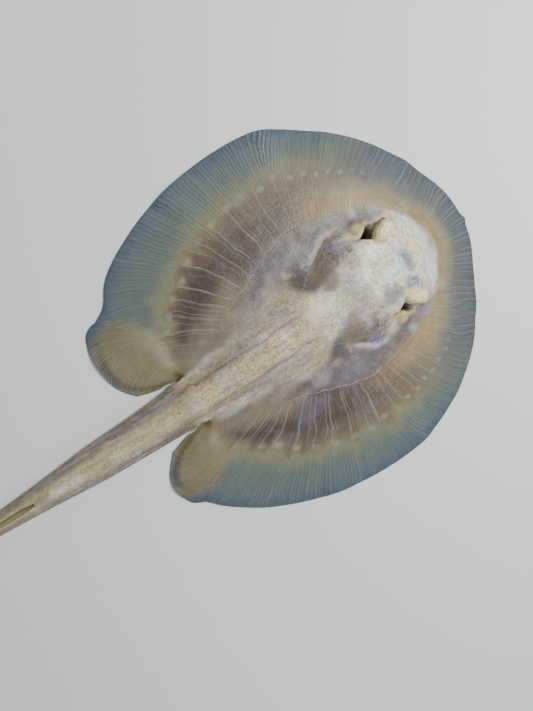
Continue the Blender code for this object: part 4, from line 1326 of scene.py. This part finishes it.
def buildDenticles(name, kind, tree, sockets, material, nearest):
    values = dict(denticles[kind], lean=denticles["lean"])
    piece = bpy.data.objects.new(name, skin.data)
    bpy.context.scene.collection.objects.link(piece)
    modifier = piece.modifiers.new("denticles", "NODES")
    modifier.node_group = tree
    for label, identifier in sockets.items():
        modifier[identifier] = values[label.lower()]
    graph = bpy.context.evaluated_depsgraph_get()
    evaluated = piece.evaluated_get(graph)
    mesh = bpy.data.meshes.new_from_object(evaluated, preserve_all_data_layers=True, depsgraph=graph)
    piece.modifiers.clear()
    piece.data = mesh
    count = len(mesh.vertices)
    roots, places = np.empty(count * 3, np.float32), np.empty(count * 3, np.float32)
    mesh.attributes["root"].data.foreach_get("vector", roots)
    mesh.vertices.foreach_get("co", places)
    roots, places = roots.reshape(-1, 3), places.reshape(-1, 3)
    offset = places - roots
    unique, which = np.unique(roots, axis=0, return_inverse=True)
    rootMap = np.array([skinMap[nearest.find(root)[1]] for root in unique])[which.ravel()]
    patch = rootMap + np.clip(offset[:, :2] / values["height"], -1, 1) * denticles["patch"]
    corners = np.empty(len(mesh.loops), np.int32)
    mesh.loops.foreach_get("vertex_index", corners)
    extra = [item.name for item in mesh.attributes if not item.is_required and not item.name.startswith(".")]
    for field in extra:
        mesh.attributes.remove(mesh.attributes[field])
    mesh.uv_layers.new(name="OFBake").data.foreach_set("uv", patch[corners].astype(np.float32).ravel())
    high = np.linalg.norm(offset, axis=1) / values["height"]
    giveField(mesh, "spike", high * 0, np.minimum(high, 1), high * 0)
    addPiece(piece, material, "spine")
    print(name, "has", len(unique), "points")


def addDenticles():
    material = denticleMaterial()
    tree, sockets = denticleNodes(material)
    upper = np.flatnonzero(skinUnder == 0)
    nearest = KDTree(len(upper))
    for index in upper:
        nearest.insert(skinPoints[index], int(index))
    nearest.balance()
    buildDenticles("backDenticles", "back", tree, sockets, material, nearest)
    buildDenticles("tailThorns", "tail", tree, sockets, material, nearest)


addDenticles()


studio = dict(
    floor="#e3e4e4", floorSize=6.0, world=0.38, worldTone=(0.93, 0.96, 1.0, 1),
    lights=(  # name, watts, size, place, and the place it points at
        ("keyLight", 18.0, 0.32, (0.02, -0.72, 1.05), (0, -0.08, 0)),
        ("sideLight", 2.5, 0.5, (-1.0, 0.25, 0.75), (0, 0, 0)),
        ("fillLight", 1.8, 1.6, (0.9, -0.5, 1.3), (0, 0, 0)),
    ),
)


def addLight(name, power, size, place, aim):
    data = bpy.data.lights.new(name, "AREA")
    data.energy = power
    data.size = size
    light = bpy.data.objects.new(name, data)
    bpy.context.scene.collection.objects.link(light)
    light.location = place
    light.rotation_euler = (Vector(aim) - Vector(place)).to_track_quat("-Z", "Y").to_euler()


def buildStudio():
    half = studio["floorSize"] / 2
    mesh = bpy.data.meshes.new("floor")
    corners = [(-half, -half, 0), (half, -half, 0), (half, half, 0), (-half, half, 0)]
    mesh.from_pydata(corners, [], [(0, 1, 2, 3)])
    floor = bpy.data.objects.new("floor", mesh)
    bpy.context.scene.collection.objects.link(floor)
    material, _, shader = newMaterial("paleFloor", 0.7)  # matt board, which shows the soft shadow only
    shader.inputs["Base Color"].default_value = hexColour(studio["floor"])
    mesh.materials.append(material)
    for light in studio["lights"]:
        addLight(*light)
    world = bpy.data.worlds.new("studio")
    world.use_nodes = True
    world.node_tree.nodes["Background"].inputs["Color"].default_value = studio["worldTone"]
    world.node_tree.nodes["Background"].inputs["Strength"].default_value = studio["world"]
    bpy.context.scene.world = world


# lens in millimetres; the places over and aimed at, the height and the upward direction in disc widths
view = dict(lens=26.99, overS=1.0991, overT=0.1985, height=1.3702, aimS=0.7481, aimT=-0.0300,
            upS=-0.5173, upT=0.8558)


def buildCamera():
    data = bpy.data.cameras.new("camera")
    data.lens = view["lens"]
    data.sensor_width = 36
    data.clip_start = 0.01
    camera = bpy.data.objects.new("camera", data)
    bpy.context.scene.collection.objects.link(camera)
    place = Vector(worldPlace(view["overS"], view["overT"], view["height"]))
    aim = Vector(worldPlace(view["aimS"], view["aimT"], 0.0))
    back = (place - aim).normalized()
    up = Vector((view["upT"], view["upS"], 0))
    right = up.cross(back).normalized()
    up = back.cross(right)
    turn = Matrix((right, up, back)).transposed().to_4x4()
    camera.matrix_world = Matrix.Translation(place) @ turn
    bpy.context.scene.camera = camera


buildStudio()
buildCamera()
print("studio and camera set")
